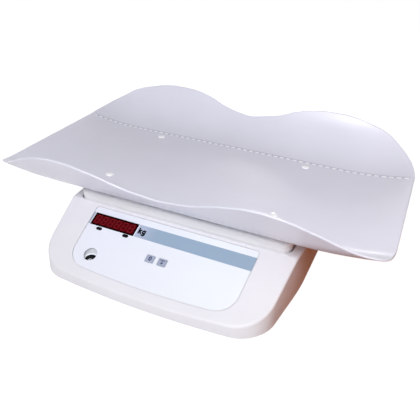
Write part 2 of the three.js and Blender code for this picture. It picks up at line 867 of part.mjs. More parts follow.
function housingGeometry() {
  const outer = housingBody(0, housingBottom, 0, housingEdgeRadius);
  const inner = housingBody(housingWall, housingBottom - cutOverrun, housingWall, housingEdgeRadius / 2);
  const well = (grow, zs) => plate(
    roundedRectangle(wellHalfX + grow, wellHalfY + grow, wellRadius + grow),
    zs,
  );
  const deckBottom = deckTop - housingWall;
  const opening = (grow, zs) => plate(
    roundedRectangle(wellHalfX - deckWidth + grow, wellHalfY - deckWidth + grow, wellRadius + grow),
    zs,
  );
  const bossTop = housingRim + cutOverrun;
  const caseBosses = caseScrewPlaces.map(([x, y]) => rod(
    caseBossRadius,
    [plateTop + seatGap, y < -wellHalfY ? bossTop : deckTop - housingWall / 2],
    fastenerSides,
    x,
    y,
  ));
  const tube = levelTube(levelRadius + seatGap + levelTubeWall, [levelTop - levelHeight, bossTop]);
  const boardBosses = boardScrewPlaces.map(([x, v]) => onPanel(rod(
    boardBossRadius,
    [seatGap - boardDepth, -housingWall / 2],
    fastenerSides,
    x,
    -v,
  )));
  const added = common(
    outer,
    join(
      well(housingWall, [deckBottom, housingRim + cutOverrun]),
      ...caseBosses,
      tube,
    ),
  );
  const body = join(cut(outer, inner), added, ...boardBosses);
  const lip = cut(
    opening(drainLipWidth, [deckTop - housingWall / 2, deckTop + drainLipHeight]),
    opening(0, [deckBottom, deckTop + drainLipHeight + cutOverrun]),
  );
  const emptied = cut(body, well(0, [deckTop, housingRim + 2 * cutOverrun]));
  const drained = cut(join(emptied, lip), opening(0, [deckBottom - cutOverrun, deckTop + cutOverrun]));
  const keyHoles = Object.values(keyPlaces).map((x) => onPanel(panelBlock(
    x,
    keyV,
    keyWidth + 2 * slidingGap,
    keyHeight + 2 * slidingGap,
    [-2 * housingWall, cutOverrun],
  )));
  const recess = onPanel(plate(overlayOutline(-seatGap), [-overlayThickness - seatGap, cutOverrun]));
  const windowHole = onPanel(panelBlock(
    windowX,
    windowV,
    windowWidth + 2 * slidingGap,
    windowHeight + 2 * slidingGap,
    [-2 * housingWall, cutOverrun],
  ));
  const boardPilots = boardScrewPlaces.map(([x, v]) => onPanel(rod(
    boardScrewRadius + seatGap,
    [-boardDepth - cutOverrun, seatGap - boardDepth + boardScrewLength],
    fastenerSides,
    x,
    -v,
  )));
  const casePilots = caseScrewPlaces.map(([x, y]) => rod(
    caseScrewRadius + seatGap,
    [plateTop, plateBottom + caseScrewLength + seatGap],
    fastenerSides,
    x,
    y,
  ));
  const levelBore = levelTube(
    levelRadius + seatGap,
    [levelTop - levelHeight - cutOverrun, panelHeight(levelY, housingWall) - cutOverrun],
  );
  const outside = housingRearY + cutOverrun;
  const inside = housingRearY - 3 * housingWall;
  const inletHole = crossRod(inletRadius + seatGap, [inside, outside], roundSides, inletX, powerZ);
  const rockerHole = block(
    [rockerX - switchBodyHalfX - seatGap, rockerX + switchBodyHalfX + seatGap],
    [inside, outside],
    [powerZ - switchBodyHalfZ - seatGap, powerZ + switchBodyHalfZ + seatGap],
  );
  return cut(
    drained,
    recess,
    windowHole,
    ...keyHoles,
    ...boardPilots,
    ...casePilots,
    levelBore,
    onPanel(levelHole(levelHoleRadius, [-4 * housingWall, cutOverrun])),
    inletHole,
    rockerHole,
  );
}

// Base plate
function basePlateGeometry() {
  const outline = housingOutline(housingWall + housingDraft + seatGap);
  const sheet = plate(outline, [plateBottom, plateTop]);
  const nuts = Object.values(footPlaces).map(([x, y]) => rod(
    plateNutRadius,
    [plateTop - plateThickness / 2, plateTop + plateNutHeight],
    roundSides / 2,
    x,
    y,
  ));
  const standoffs = mainScrewPlaces.map(([x, y]) => rod(
    standoffRadius,
    [plateTop - plateThickness / 2, plateTop + standoffHeight],
    fastenerSides,
    x,
    y,
  ));
  const stiffenerX = trayScrewX - frameBarWidth;
  const stiffeners = [-1, 1].map((side) => block(
    [-stiffenerX, stiffenerX],
    [
      side * (frameBeamWidth + stiffenerWidth) / 2 - stiffenerWidth / 2,
      side * (frameBeamWidth + stiffenerWidth) / 2 + stiffenerWidth / 2,
    ],
    [plateTop - plateThickness / 2, plateTop + stiffenerHeight],
  ));
  const low = plateBottom - cutOverrun;
  const stemHoles = Object.values(footPlaces).map(([x, y]) => rod(
    footStemRadius + boltGap,
    [low, plateTop + plateNutHeight + cutOverrun],
    roundSides / 2,
    x,
    y,
  ));
  const caseHoles = caseScrewPlaces.map(([x, y]) => rod(
    caseScrewRadius + boltGap,
    [low, plateTop + cutOverrun],
    fastenerSides,
    x,
    y,
  ));
  const cellHoles = cellBoltXs.map((x) => rod(
    cellBoltRadius + boltGap,
    [low, plateTop + cutOverrun],
    fastenerSides,
    -x,
    0,
  ));
  const boardHoles = mainScrewPlaces.map(([x, y]) => rod(
    boardScrewRadius + seatGap,
    [plateTop, plateTop + standoffHeight + cutOverrun],
    fastenerSides,
    x,
    y,
  ));
  return cut(
    join(sheet, ...nuts, ...standoffs, ...stiffeners),
    ...stemHoles,
    ...caseHoles,
    ...cellHoles,
    ...boardHoles,
  );
}

// Panel pieces, in the panel's own frame
function overlayGeometry() {
  const through = [-overlayThickness - cutOverrun, cutOverrun];
  const keyCuts = Object.values(keyPlaces).map((x) => panelBlock(
    x,
    keyV,
    keyWidth + 2 * slidingGap,
    keyHeight + 2 * slidingGap,
    through,
  ));
  const windowCut = panelBlock(
    windowX,
    windowV,
    windowWidth + 2 * slidingGap,
    windowHeight + 2 * slidingGap,
    through,
  );
  return plate(
    overlayOutline(0),
    [-overlayThickness, 0],
    [windowCut, ...keyCuts, levelHole(levelHoleRadius, through)],
  );
}

function windowGeometry() {
  const flangeTop = -housingWall - seatGap;
  const flange = panelBlock(
    windowX,
    windowV,
    windowWidth + 2 * windowFlange,
    windowHeight + 2 * windowFlange,
    [flangeTop - windowFlangeThickness, flangeTop],
  );
  const pane = panelBlock(
    windowX,
    windowV,
    windowWidth,
    windowHeight,
    [flangeTop - windowFlangeThickness / 2, -windowRecess],
  );
  return join(flange, pane);
}

function moduleGeometry() {
  const top = -housingWall - windowFlangeThickness - 2 * seatGap;
  return panelBlock(windowX, windowV, moduleWidth, moduleHeight, [seatGap - boardDepth, top]);
}

function displayBoardGeometry() {
  const outline = [
    [boardLeft, -boardBottomV],
    [-boardTabHalfX, -boardBottomV],
    [-boardTabHalfX, -boardTabV],
    [boardTabHalfX, -boardTabV],
    [boardTabHalfX, -boardBottomV],
    [boardRight, -boardBottomV],
    [boardRight, -boardTopV],
    [boardLeft, -boardTopV],
  ];
  const low = -boardDepth - boardThickness;
  const holes = boardScrewPlaces.map(([x, v]) => rod(
    boardScrewRadius + boltGap,
    [low - cutOverrun, cutOverrun - boardDepth],
    fastenerSides,
    x,
    -v,
  ));
  const plug = block(
    [boardRight - plugDepth - cutOverrun, boardRight - cutOverrun],
    [-boardBottomV + cutOverrun, plugWidth + cutOverrun - boardBottomV],
    [low - plugHeight / 2, low + boardThickness / 2],
  );
  return join(plate(outline, [low, -boardDepth], holes), plug);
}

function keyGeometry(x) {
  const flangeTop = -housingWall - seatGap;
  const flangeLow = flangeTop - keyFlangeThickness;
  const cap = panelBlock(x, keyV, keyWidth, keyHeight, [flangeTop - keyFlangeThickness / 2, keyProud]);
  const flange = panelBlock(
    x,
    keyV,
    keyWidth + 2 * keyFlange,
    keyHeight + 2 * keyFlange,
    [flangeLow, flangeTop],
  );
  const stem = rod(keyStemRadius, [flangeLow - keyStemLength, flangeTop], fastenerSides, x, -keyV);
  return join(cap, flange, stem);
}

function switchGeometry(x) {
  const low = seatGap - boardDepth;
  const plungerTop = -housingWall - seatGap - keyFlangeThickness - keyStemLength - keyGap;
  const body = panelBlock(x, keyV, switchWidth, switchWidth, [low, low + switchHeight]);
  const plunger = rod(switchPlungerRadius, [low + switchHeight / 2, plungerTop], fastenerSides, x, -keyV);
  return join(body, plunger);
}

function smallScrewGeometry(seat, length) {
  return turned([
    [0, seat - boardScrewHeadHeight],
    [boardScrewHeadRadius, seat - boardScrewHeadHeight],
    [boardScrewHeadRadius, seat],
    [boardScrewRadius, seat],
    [boardScrewRadius, seat + length],
    [0, seat + length],
  ], fastenerSides);
}

// Spirit level
function levelGeometry() {
  const cup = levelTop - levelLensDepth;
  const bore = levelLensRadius + seatGap;
  return turned([
    [0, levelTop - levelHeight],
    [levelRadius, levelTop - levelHeight],
    [levelRadius, levelTop],
    [bore, levelTop],
    [bore, cup],
    [0, cup],
  ]);
}

function levelLensGeometry() {
  const low = levelTop - levelLensDepth + seatGap;
  const crown = edgeSteps(1, 4).map(({ inset, drop }) => [
    levelLensRadius * (1 - inset),
    levelTop + levelLensCrown * (1 - drop),
  ]);
  return turned([[0, low], [levelLensRadius, low], ...crown]);
}

// Main board with its plugs, chips and capacitor
const cellPlugX = mainBoardLeft + plugWidth + mainScrewInset;
const powerPlugX = mainBoardRight - 2 * plugWidth;
const displayPlugY = (mainBoardFront + mainBoardBack) / 2;

function mainBoardGeometry() {
  const holes = mainScrewPlaces.map(([x, y]) => rod(
    boardScrewRadius + boltGap,
    [mainBoardBottom - cutOverrun, mainBoardTop + cutOverrun],
    fastenerSides,
    x,
    y,
  ));
  const sheet = cut(
    block([mainBoardLeft, mainBoardRight], [mainBoardFront, mainBoardBack], [mainBoardBottom, mainBoardTop]),
    ...holes,
  );
  const sunk = (mainBoardTop + mainBoardBottom) / 2;
  const backPlug = (x) => block(
    [x, x + plugWidth],
    [mainBoardBack - plugDepth, mainBoardBack],
    [sunk, mainBoardTop + plugHeight],
  );
  const sidePlug = block(
    [mainBoardLeft, mainBoardLeft + plugDepth],
    [displayPlugY - plugWidth / 2, displayPlugY + plugWidth / 2],
    [sunk, mainBoardTop + plugHeight],
  );
  const middleX = (mainBoardLeft + mainBoardRight) / 2;
  const middleY = (mainBoardFront + mainBoardBack) / 2;
  const chip = block(
    [middleX - plugWidth, middleX + plugWidth],
    [middleY - plugWidth, middleY + plugWidth],
    [sunk, mainBoardTop + chipHeight],
  );
  const capacitor = rod(
    capacitorRadius,
    [sunk, mainBoardTop + capacitorHeight],
    roundSides / 2,
    mainBoardRight - 2 * capacitorRadius,
    mainBoardBack - 3 * capacitorRadius,
  );
  return join(sheet, backPlug(cellPlugX), backPlug(powerPlugX), sidePlug, chip, capacitor);
}

// Power inlet and switch
function inletGeometry() {
  const face = rearWallY(powerZ) + powerWallGap + inletFlangeThickness;
  const seat = face - inletFlangeThickness;
  const profile = [
    [0, face - inletLength],
    [inletRadius, face - inletLength],
    [inletRadius, seat],
    [inletFlangeRadius, seat],
    [inletFlangeRadius, face],
    [inletSocketRadius, face],
    [inletSocketRadius, face - inletSocketDepth],
    [inletPinRadius, face - inletSocketDepth],
    [inletPinRadius, face - inletSocketRadius],
    [0, face - inletSocketRadius],
  ].map(([radius, along]) => new THREE.Vector2(radius, along));
  return new THREE.LatheGeometry(profile, roundSides).translate(inletX, 0, powerZ);
}

const switchFaceY = rearWallY(powerZ) + powerWallGap + bezelThickness;
const rockerPivotY = switchFaceY - rockerLip;

function switchBodyGeometry() {
  const xs = (grow) => [rockerX - switchBodyHalfX - grow, rockerX + switchBodyHalfX + grow];
  const zs = (grow) => [powerZ - switchBodyHalfZ - grow, powerZ + switchBodyHalfZ + grow];
  const bezel = block(xs(bezelWidth), [switchFaceY - bezelThickness, switchFaceY], zs(bezelWidth));
  const body = block(xs(0), [switchFaceY - switchBodyDepth, switchFaceY - bezelThickness / 2], zs(0));
  const pocket = block(
    [rockerX - rockerHalfX - slidingGap, rockerX + rockerHalfX + slidingGap],
    [rockerPivotY - rockerDepth - bezelWidth, switchFaceY + cutOverrun],
    [powerZ - rockerHalfZ - 2 * slidingGap, powerZ + rockerHalfZ + 2 * slidingGap],
  );
  return cut(join(bezel, body), pocket);
}

function rockerGeometry() {
  const profile = [
    [rockerLip, -rockerHalfZ],
    [rockerLip - rockerDish, 0],
    [rockerLip, rockerHalfZ],
    [-rockerDepth / 2, rockerHeelHalfZ],
    [-rockerDepth, rockerToeHalfZ],
    [-rockerDepth, -rockerToeHalfZ],
    [-rockerDepth / 2, -rockerHeelHalfZ],
  ];
  const slab = plate(profile, [-rockerHalfX, rockerHalfX]);
  const axes = new THREE.Matrix4().makeBasis(
    new THREE.Vector3(0, 1, 0),
    new THREE.Vector3(0, 0, 1),
    new THREE.Vector3(1, 0, 0),
  );
  return slab.applyMatrix4(axes).rotateX(-rockerTilt);
}

// Levelling feet
const wheelBottom = footPadHeight + seatGap;
const wheelTop = wheelBottom + footWheelHeight;

function footPadGeometry() {
  const socket = footBallRadius + slidingGap;
  const socketFloor = wheelBottom - footBallDepth - seatGap;
  return turned([
    [0, 0],
    [footPadRadius - footSoleInset, 0],
    [footPadRadius, footSoleInset],
    [footPadRadius, footPadHeight - footSoleInset],
    [footPadRadius - footSoleInset, footPadHeight],
    [socket, footPadHeight],
    [socket, socketFloor],
    [0, socketFloor],
  ]);
}

function footStemGeometry() {
  return turned([
    [0, wheelBottom - footBallDepth],
    [footBallRadius, wheelBottom - footBallDepth],
    [footBallRadius, wheelBottom],
    [footWheelRadius, wheelBottom],
    [footWheelRadius, wheelTop],
    [footStemRadius, wheelTop],
    [footStemRadius, footStemTop],
    [0, footStemTop],
  ]);
}

function caseScrewGeometry() {
  const seat = plateBottom - seatGap;
  return turned([
    [0, seat - caseScrewHeadHeight],
    [caseScrewHeadRadius, seat - caseScrewHeadHeight],
    [caseScrewHeadRadius, seat],
    [caseScrewRadius, seat],
    [caseScrewRadius, seat + caseScrewLength],
    [0, seat + caseScrewLength],
  ], fastenerSides);
}

// A cable along a smooth route
function cableGeometry(route, radius) {
  const path = new THREE.CatmullRomCurve3(route.map((point) => new THREE.Vector3(...point)));
  const section = new THREE.Shape(Array.from({ length: cableSides }, (_, side) => {
    const angle = (side / cableSides) * 2 * Math.PI;
    return new THREE.Vector2(radius * Math.cos(angle), radius * Math.sin(angle));
  }));
  const steps = Math.min(Math.ceil(path.getLength() / (5 * radius)), 60);
  return new THREE.ExtrudeGeometry(section, { steps, extrudePath: path, bevelEnabled: false });
}

const cableRest = plateTop + stiffenerHeight + cableRadius + seatGap;
const plugMiddle = mainBoardTop + plugHeight / 2;

function cellCableGeometry() {
  const x = cellBlockLength - cellLength / 2;
  const plugX = cellPlugX + plugWidth / 2;
  const front = -cellWidth / 2 - seatGap;
  const exitZ = (cellTop + cellBottom) / 2;
  return cableGeometry([
    [x, front, exitZ],
    [x, front - 2 * cableRadius, exitZ],
    [x, front - 4 * cableRadius, exitZ],
    [x * 0.7, (front - frameBeamWidth) / 2, (cellBottom + plateTop) / 2],
    [plugX * 0.2, -frameBeamWidth, cableRest],
    [plugX * 0.8, mainBoardBack + 10 * cableRadius, cableRest],
    [plugX, mainBoardBack + 4 * cableRadius, plugMiddle],
    [plugX, mainBoardBack + 2 * cableRadius, plugMiddle],
    [plugX, mainBoardBack + seatGap, plugMiddle],
  ], cableRadius);
}

function powerCableGeometry() {
  const plugX = powerPlugX + plugWidth / 2;
  const start = rearWallY(powerZ) + powerWallGap + inletFlangeThickness - inletLength - seatGap;
  return cableGeometry([
    [inletX, start, powerZ],
    [inletX, start - 2 * cableRadius, powerZ],
    [inletX, start - 4 * cableRadius, powerZ],
    [inletX, start - 12 * cableRadius, cableRest + cableRadius],
    [inletX, start / 2, cableRest],
    [inletX, 0, cableRest],
    [(inletX + plugX) / 2, mainBoardBack / 2, cableRest],
    [plugX, mainBoardBack + 10 * cableRadius, cableRest],
    [plugX, mainBoardBack + 4 * cableRadius, plugMiddle],
    [plugX, mainBoardBack + 2 * cableRadius, plugMiddle],
    [plugX, mainBoardBack + seatGap, plugMiddle],
  ], cableRadius);
}

function displayCableGeometry() {
  const low = -boardDepth - boardThickness - plugHeight / 2 - seatGap;
  const start = new THREE.Vector3(
    boardRight - plugDepth / 2 - cutOverrun,
    plugWidth / 2 + cutOverrun - boardBottomV,
    low,
  ).applyMatrix4(panelMatrix);
  const end = [mainBoardLeft - seatGap, displayPlugY, plugMiddle];
  const drop = new THREE.Vector3(0, Math.sin(panelAngle), -Math.cos(panelAngle));
  const below = start.clone().addScaledVector(drop, 2.5 * thinCableRadius);
  return cableGeometry([
    start.toArray(),
    below.toArray(),
    [(below.x + end[0]) / 2, (below.y + end[1]) / 2, (below.z + end[2]) / 2],
    [end[0] - 3 * thinCableRadius, end[1], end[2]],
    end,
  ], thinCableRadius);
}

// Assembly
const babyScale = new THREE.Group();
const panel = new THREE.Group();
panel.applyMatrix4(panelMatrix);
babyScale.add(panel);

function place(parent, name, geometry, material, x = 0, y = 0, z = 0) {
  const mesh = new THREE.Mesh(geometry, material);
  mesh.name = name;
  mesh.position.set(x, y, z);
  parent.add(mesh);
  return mesh;
}

place(babyScale, 'tray', trayGeometry(), finishes.tray);
Object.entries(trayScrewPlaces).forEach(([corner, [x, y]]) => {
  place(babyScale, `tray_screw_${corner}`, trayScrewGeometry(), finishes.whiteScrew, x, y);
  place(babyScale, `tray_spacer_${corner}`, spacerGeometry(), finishes.housing, x, y);
});

place(babyScale, 'platform_cover', coverGeometry(), finishes.housing);
place(babyScale, 'platform_frame', frameGeometry(), finishes.zinc);
place(babyScale, 'load_cell_top_spacer', cellBlock(1, [cellTop + travelGap, topSpacerTop]), finishes.aluminium);
place(babyScale, 'load_cell', loadCellGeometry(), finishes.aluminium);
place(babyScale, 'load_cell_pedestal', cellBlock(-1, [pedestalBottom, pedestalTop]), finishes.aluminium);
cellBoltXs.forEach((x, index) => {
  const topSeat = frameTop + seatGap;
  const topBolt = boltGeometry(topSeat, topSeat + cellBoltHeadHeight, cellTop - cellBoltGrip);
  place(babyScale, `top_bolt_${index + 1}`, topBolt, finishes.steel, x);
  const baseSeat = plateBottom - seatGap;
  const baseBolt = boltGeometry(baseSeat - cellBoltHeadHeight, baseSeat, cellBottom + cellBoltGrip);
  place(babyScale, `base_bolt_${index + 1}`, baseBolt, finishes.steel, -x);
});
[['front_left', -1, -1], ['front_right', 1, -1], ['rear_left', -1, 1], ['rear_right', 1, 1]]
  .forEach(([corner, sideX, sideY]) => {
    place(babyScale, `overload_stop_${corner}`, stopGeometry(), finishes.steel, sideX * trayScrewX, sideY * stopY);
  });

place(babyScale, 'top_housing', housingGeometry(), finishes.housing);
place(babyScale, 'base_plate', basePlateGeometry(), finishes.zinc);
caseScrewPlaces.forEach(([x, y], index) => {
  place(babyScale, `case_screw_${index + 1}`, caseScrewGeometry(), finishes.steel, x, y);
});

place(panel, 'panel_overlay', overlayGeometry(), finishes.overlay);
place(panel, 'display_window', windowGeometry(), finishes.window);
place(panel, 'display_module', moduleGeometry(), finishes.module);
place(panel, 'display_board', displayBoardGeometry(), finishes.board);
Object.entries(keyPlaces).forEach(([name, x]) => {
  place(panel, name, keyGeometry(x), finishes.key);
  place(panel, name.replace('key', 'switch'), switchGeometry(x), finishes.blackPlastic);
});
boardScrewPlaces.forEach(([x, v], index) => {
  const screw = smallScrewGeometry(-boardDepth - boardThickness - seatGap, boardScrewLength);
  place(panel, `display_board_screw_${index + 1}`, screw, finishes.steel, x, -v);
});

place(babyScale, 'level_vial', levelGeometry(), finishes.blackPlastic, levelX, levelY);
place(babyScale, 'level_lens', levelLensGeometry(), finishes.lens, levelX, levelY);

place(babyScale, 'main_board', mainBoardGeometry(), finishes.board);
mainScrewPlaces.forEach(([x, y], index) => {
  const screw = smallScrewGeometry(-mainBoardTop - seatGap, boardScrewLength - boardScrewHeadHeight);
  const mesh = place(babyScale, `main_board_screw_${index + 1}`, screw, finishes.steel, x, y);
  mesh.rotation.x = Math.PI;
});
place(babyScale, 'load_cell_cable', cellCableGeometry(), finishes.cable);
place(babyScale, 'power_cable', powerCableGeometry(), finishes.cable);
place(babyScale, 'display_cable', displayCableGeometry(), finishes.cable);

place(babyScale, 'power_inlet', inletGeometry(), finishes.blackPlastic);
place(babyScale, 'power_switch', switchBodyGeometry(), finishes.blackPlastic);
place(babyScale, 'power_rocker', rockerGeometry(), finishes.blackPlastic, rockerX, rockerPivotY, powerZ);

Object.entries(footPlaces).forEach(([corner, [x, y]]) => {
  place(babyScale, `foot_pad_${corner}`, footPadGeometry(), finishes.rubber, x, y);
  place(babyScale, `foot_stem_${corner}`, footStemGeometry(), finishes.steel, x, y);
});

// The group's origin is the middle of the whole footprint, on the floor
babyScale.updateMatrixWorld(true);
const footprint = new THREE.Box3().setFromObject(babyScale);
const middle = footprint.getCenter(new THREE.Vector3());
babyScale.position.set(-middle.x, -middle.y, -footprint.min.z);

export default babyScale;
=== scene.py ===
import math

import bmesh
import bpy
from mathutils import Matrix, Vector


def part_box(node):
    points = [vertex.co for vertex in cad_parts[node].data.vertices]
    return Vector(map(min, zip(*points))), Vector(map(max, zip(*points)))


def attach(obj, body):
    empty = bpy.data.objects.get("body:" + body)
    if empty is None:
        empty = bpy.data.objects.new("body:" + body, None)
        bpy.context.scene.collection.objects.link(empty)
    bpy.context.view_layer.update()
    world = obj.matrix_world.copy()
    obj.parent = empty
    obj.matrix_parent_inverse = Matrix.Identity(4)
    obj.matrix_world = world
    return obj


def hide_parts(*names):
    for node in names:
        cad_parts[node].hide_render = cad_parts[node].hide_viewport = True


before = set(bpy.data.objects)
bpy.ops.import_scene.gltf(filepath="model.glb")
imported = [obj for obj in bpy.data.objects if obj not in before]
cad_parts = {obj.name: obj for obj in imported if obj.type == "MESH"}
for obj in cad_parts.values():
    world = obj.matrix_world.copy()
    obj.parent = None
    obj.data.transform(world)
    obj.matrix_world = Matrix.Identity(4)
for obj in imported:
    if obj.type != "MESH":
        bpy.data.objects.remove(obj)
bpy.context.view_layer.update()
print("frame loaded:", len(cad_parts), "nodes")

mm = 0.001
coverLow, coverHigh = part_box("platform_cover")
platformY = (coverLow.y + coverHigh.y) / 2  # drawing sizes start at the middle of the platform
scene = bpy.context.scene


# node helpers
def setInputs(made, inputs):
    links = made.id_data.links
    for key, value in inputs.items():
        socket = made.inputs[key]
        if isinstance(value, bpy.types.NodeSocket):
            links.new(value, socket)
        else:
            socket.default_value = value


def addNode(tree, kind, inputs=None, **settings):
    made = tree.nodes.new(kind)
    for key, value in settings.items():
        setattr(made, key, value)
    setInputs(made, inputs or {})
    return made


def calc(tree, operation, *values):
    made = addNode(tree, "ShaderNodeMath", dict(enumerate(values)), operation=operation)
    return made.outputs[0]


def vectorCalc(tree, operation, *values):
    made = addNode(tree, "ShaderNodeVectorMath", dict(enumerate(values)), operation=operation)
    return made.outputs["Value" if operation in ("DOT_PRODUCT", "LENGTH") else "Vector"]


def ramp(tree, value, fromLow, fromHigh, toLow=0.0, toHigh=1.0, smooth=False):
    made = addNode(
        tree,
        "ShaderNodeMapRange",
        {"Value": value, "From Min": fromLow, "From Max": fromHigh, "To Min": toLow, "To Max": toHigh},
        interpolation_type="SMOOTHSTEP" if smooth else "LINEAR",
    )
    return made.outputs["Result"]


def colourOf(code):
    parts = [int(code[i:i + 2], 16) / 255 for i in (1, 3, 5)]
    return tuple(p / 12.92 if p <= 0.04045 else ((p + 0.055) / 1.055) ** 2.4 for p in parts) + (1.0,)


def mixColour(tree, share, first, second):
    made = addNode(tree, "ShaderNodeMix", data_type="RGBA")
    setInputs(made, {0: share, 6: first, 7: second})
    return made.outputs[2]


# mesh helpers: sizes are in millimetres, from the middle of the platform
def place(point):
    return (point[0] * mm, point[1] * mm + platformY, point[2] * mm)


def newPiece(name, mesh):
    piece = bpy.data.objects.new(name, mesh)
    scene.collection.objects.link(piece)
    return piece


def pieceFrom(name, points, faces):
    mesh = bpy.data.meshes.new(name)
    mesh.from_pydata([place(p) for p in points], [], faces)
    mesh.update()
    return newPiece(name, mesh)


def bake(piece):
    graph = bpy.context.evaluated_depsgraph_get()
    graph.update()
    mesh = bpy.data.meshes.new_from_object(piece.evaluated_get(graph))
    piece.modifiers.clear()
    piece.data = mesh
    return piece


def drop(*pieces):
    for piece in pieces:
        bpy.data.objects.remove(piece)


def combine(piece, operation, *tools):
    for tool in tools:
        step = piece.modifiers.new("step", "BOOLEAN")
        step.operation = operation
        step.object = tool
        step.solver = "MANIFOLD"
    bake(piece)
    drop(*tools)
    return piece


def cutFrom(piece, *tools):
    return combine(piece, "DIFFERENCE", *tools)


def joinTo(piece, *tools):
    return combine(piece, "UNION", *tools)


def bevelEdges(piece, width, segments=2, angle=40):
    step = piece.modifiers.new("bevel", "BEVEL")
    step.width = width * mm
    step.segments = segments
    step.limit_method = "ANGLE"
    step.angle_limit = math.radians(angle)
    return bake(piece)


def turnAll(piece, matrix):
    piece.data.transform(matrix)
    return piece


def finishPiece(piece, material, body, nodes=(), sharp=35):
    mesh = piece.data
    mesh.materials.clear()
    mesh.materials.append(material)
    mesh.shade_smooth()
    mesh.set_sharp_from_angle(angle=math.radians(sharp))
    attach(piece, body)
    if nodes:
        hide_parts(*nodes)
    return piece


def oneMesh(name, pieces):
    mesh = bmesh.new()
    for piece in pieces:
        mesh.from_mesh(piece.data)
    data = bpy.data.meshes.new(name)
    mesh.to_mesh(data)
    mesh.free()
    drop(*pieces)
    return newPiece(name, data)


def cadCopy(name, node, weld=0.005, flatness=1.0):
    mesh = bmesh.new()
    mesh.from_mesh(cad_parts[node].data)
    bmesh.ops.remove_doubles(mesh, verts=mesh.verts, dist=weld * mm)
    bmesh.ops.dissolve_limit(mesh, angle_limit=math.radians(flatness), verts=mesh.verts, edges=mesh.edges)
    data = bpy.data.meshes.new(name)
    mesh.to_mesh(data)
    mesh.free()
    return newPiece(name, data)


# outlines, and the closed forms drawn from them
def roundCorner(before, corner, after, radius, inset, steps):
    here = Vector(corner)
    back = (Vector(before) - here).normalized()
    ahead = (Vector(after) - here).normalized()
    half = math.acos(max(-1.0, min(1.0, back.dot(ahead)))) / 2
    centre = here + (back + ahead).normalized() * radius / math.sin(half)
    start = here + back * radius / math.tan(half) - centre
    end = here + ahead * radius / math.tan(half) - centre
    first = math.atan2(start.y, start.x)
    sweep = (math.atan2(end.y, end.x) - first + math.pi) % (2 * math.pi) - math.pi
    turns = [first + sweep * i / steps for i in range(steps + 1)]
    return [centre + Vector((math.cos(t), math.sin(t))) * (radius - inset) for t in turns]


def roundedOutline(corners, inset=0.0, steps=12):
    points = []
    for i, (x, y, radius) in enumerate(corners):
        before, after = corners[i - 1], corners[(i + 1) % len(corners)]
        points += roundCorner(before[:2], (x, y), after[:2], radius, inset, steps)
    return points


def roundedRectangle(halfX, halfY, radius, inset=0.0, steps=12, x=0.0, y=0.0):
    corners = [(x + halfX, y - halfY), (x + halfX, y + halfY), (x - halfX, y + halfY), (x - halfX, y - halfY)]
    return roundedOutline([(cx, cy, radius) for cx, cy in corners], inset, steps)


def edgeSteps(radius, steps):
    turns = [math.pi / 2 * i / steps for i in range(steps + 1)]
    return [(radius * (1 - math.cos(t)), radius * (1 - math.sin(t))) for t in turns]


def skin(name, rings, ladder=False):
    count = len(rings[0])
    faces = []
    for ring in range(len(rings) - 1):
        a, b = ring * count, (ring + 1) * count
        faces += [(a + i, a + (i + 1) % count, b + (i + 1) % count, b + i) for i in range(count)]
    last = (len(rings) - 1) * count
    if ladder:
        for rung in range(count // 2 - 1):
            near, far = rung, count - 1 - rung
            faces.append((near, far, far - 1, near + 1))
            faces.append((last + near, last + near + 1, last + far - 1, last + far))
    else:
        faces.append(tuple(reversed(range(count))))
        faces.append(tuple(range(last, last + count)))
    return pieceFrom(name, [p for ring in rings for p in ring], faces)


def at(outline, z):
    return [(p[0], p[1], z) for p in outline]


def plate(name, outline, low, high):
    return skin(name, [at(outline, low), at(outline, high)])


def block(name, xs, ys, zs):
    return plate(name, [(xs[0], ys[0]), (xs[1], ys[0]), (xs[1], ys[1]), (xs[0], ys[1])], *zs)


def circle(radius, sides=48, x=0.0, y=0.0):
    turns = [2 * math.pi * i / sides for i in range(sides)]
    return [(x + radius * math.cos(t), y + radius * math.sin(t)) for t in turns]


def rod(name, radius, low, high, x=0.0, y=0.0, sides=48):
    return plate(name, circle(radius, sides, x, y), low, high)


def turned(name, profile, sides=64, x=0.0, y=0.0, z=0.0):
    points, faces, rows = [], [], []
    for radius, height in profile:
        if radius < 1e-6:
            rows.append([len(points)])
            points.append((x, y, z + height))
        else:
            rows.append([len(points) + i for i in range(sides)])
            points += [(px, py, z + height) for px, py in circle(radius, sides, x, y)]
    for low, high in zip(rows, rows[1:]):
        for i in range(sides):
            j = (i + 1) % sides
            corners = [low[i % len(low)], low[j % len(low)], high[j % len(high)], high[i % len(high)]]
            face = []
            for corner in corners:
                if corner not in face:
                    face.append(corner)
            if len(face) > 2:
                faces.append(face)
    return pieceFrom(name, points, faces)


def arcTo(centre, radius, fromDegrees, toDegrees, steps):
    turns = [math.radians(fromDegrees + (toDegrees - fromDegrees) * i / steps) for i in range(steps + 1)]
    return [(centre[0] + radius * math.cos(t), centre[1] + radius * math.sin(t)) for t in turns]


# materials: colours first, then how rough and how grained
def newMaterial(name):
    made = bpy.data.materials.new(name)
    made.use_nodes = True
    tree = made.node_tree
    shader = tree.nodes["Principled BSDF"]
    spot = addNode(tree, "ShaderNodeTexCoord").outputs["Object"]
    return made, tree, shader, spot


def noise(tree, spot, scale, detail=3.0):
    made = addNode(tree, "ShaderNodeTexNoise", {"Vector": spot, "Scale": scale, "Detail": detail})
    return made.outputs["Fac"]


cloudSpan = (0.35, 0.65)  # the part of a noise in which it changes
noiseSpan = (0.3, 0.7)


def varied(tree, spot, scale, low, high):
    return ramp(tree, noise(tree, spot, scale), *noiseSpan, low, high)


def bump(tree, shader, height, strength, distance):
    made = addNode(tree, "ShaderNodeBump", {"Height": height, "Strength": strength, "Distance": distance * mm})
    setInputs(shader, {"Normal": made.outputs["Normal"]})


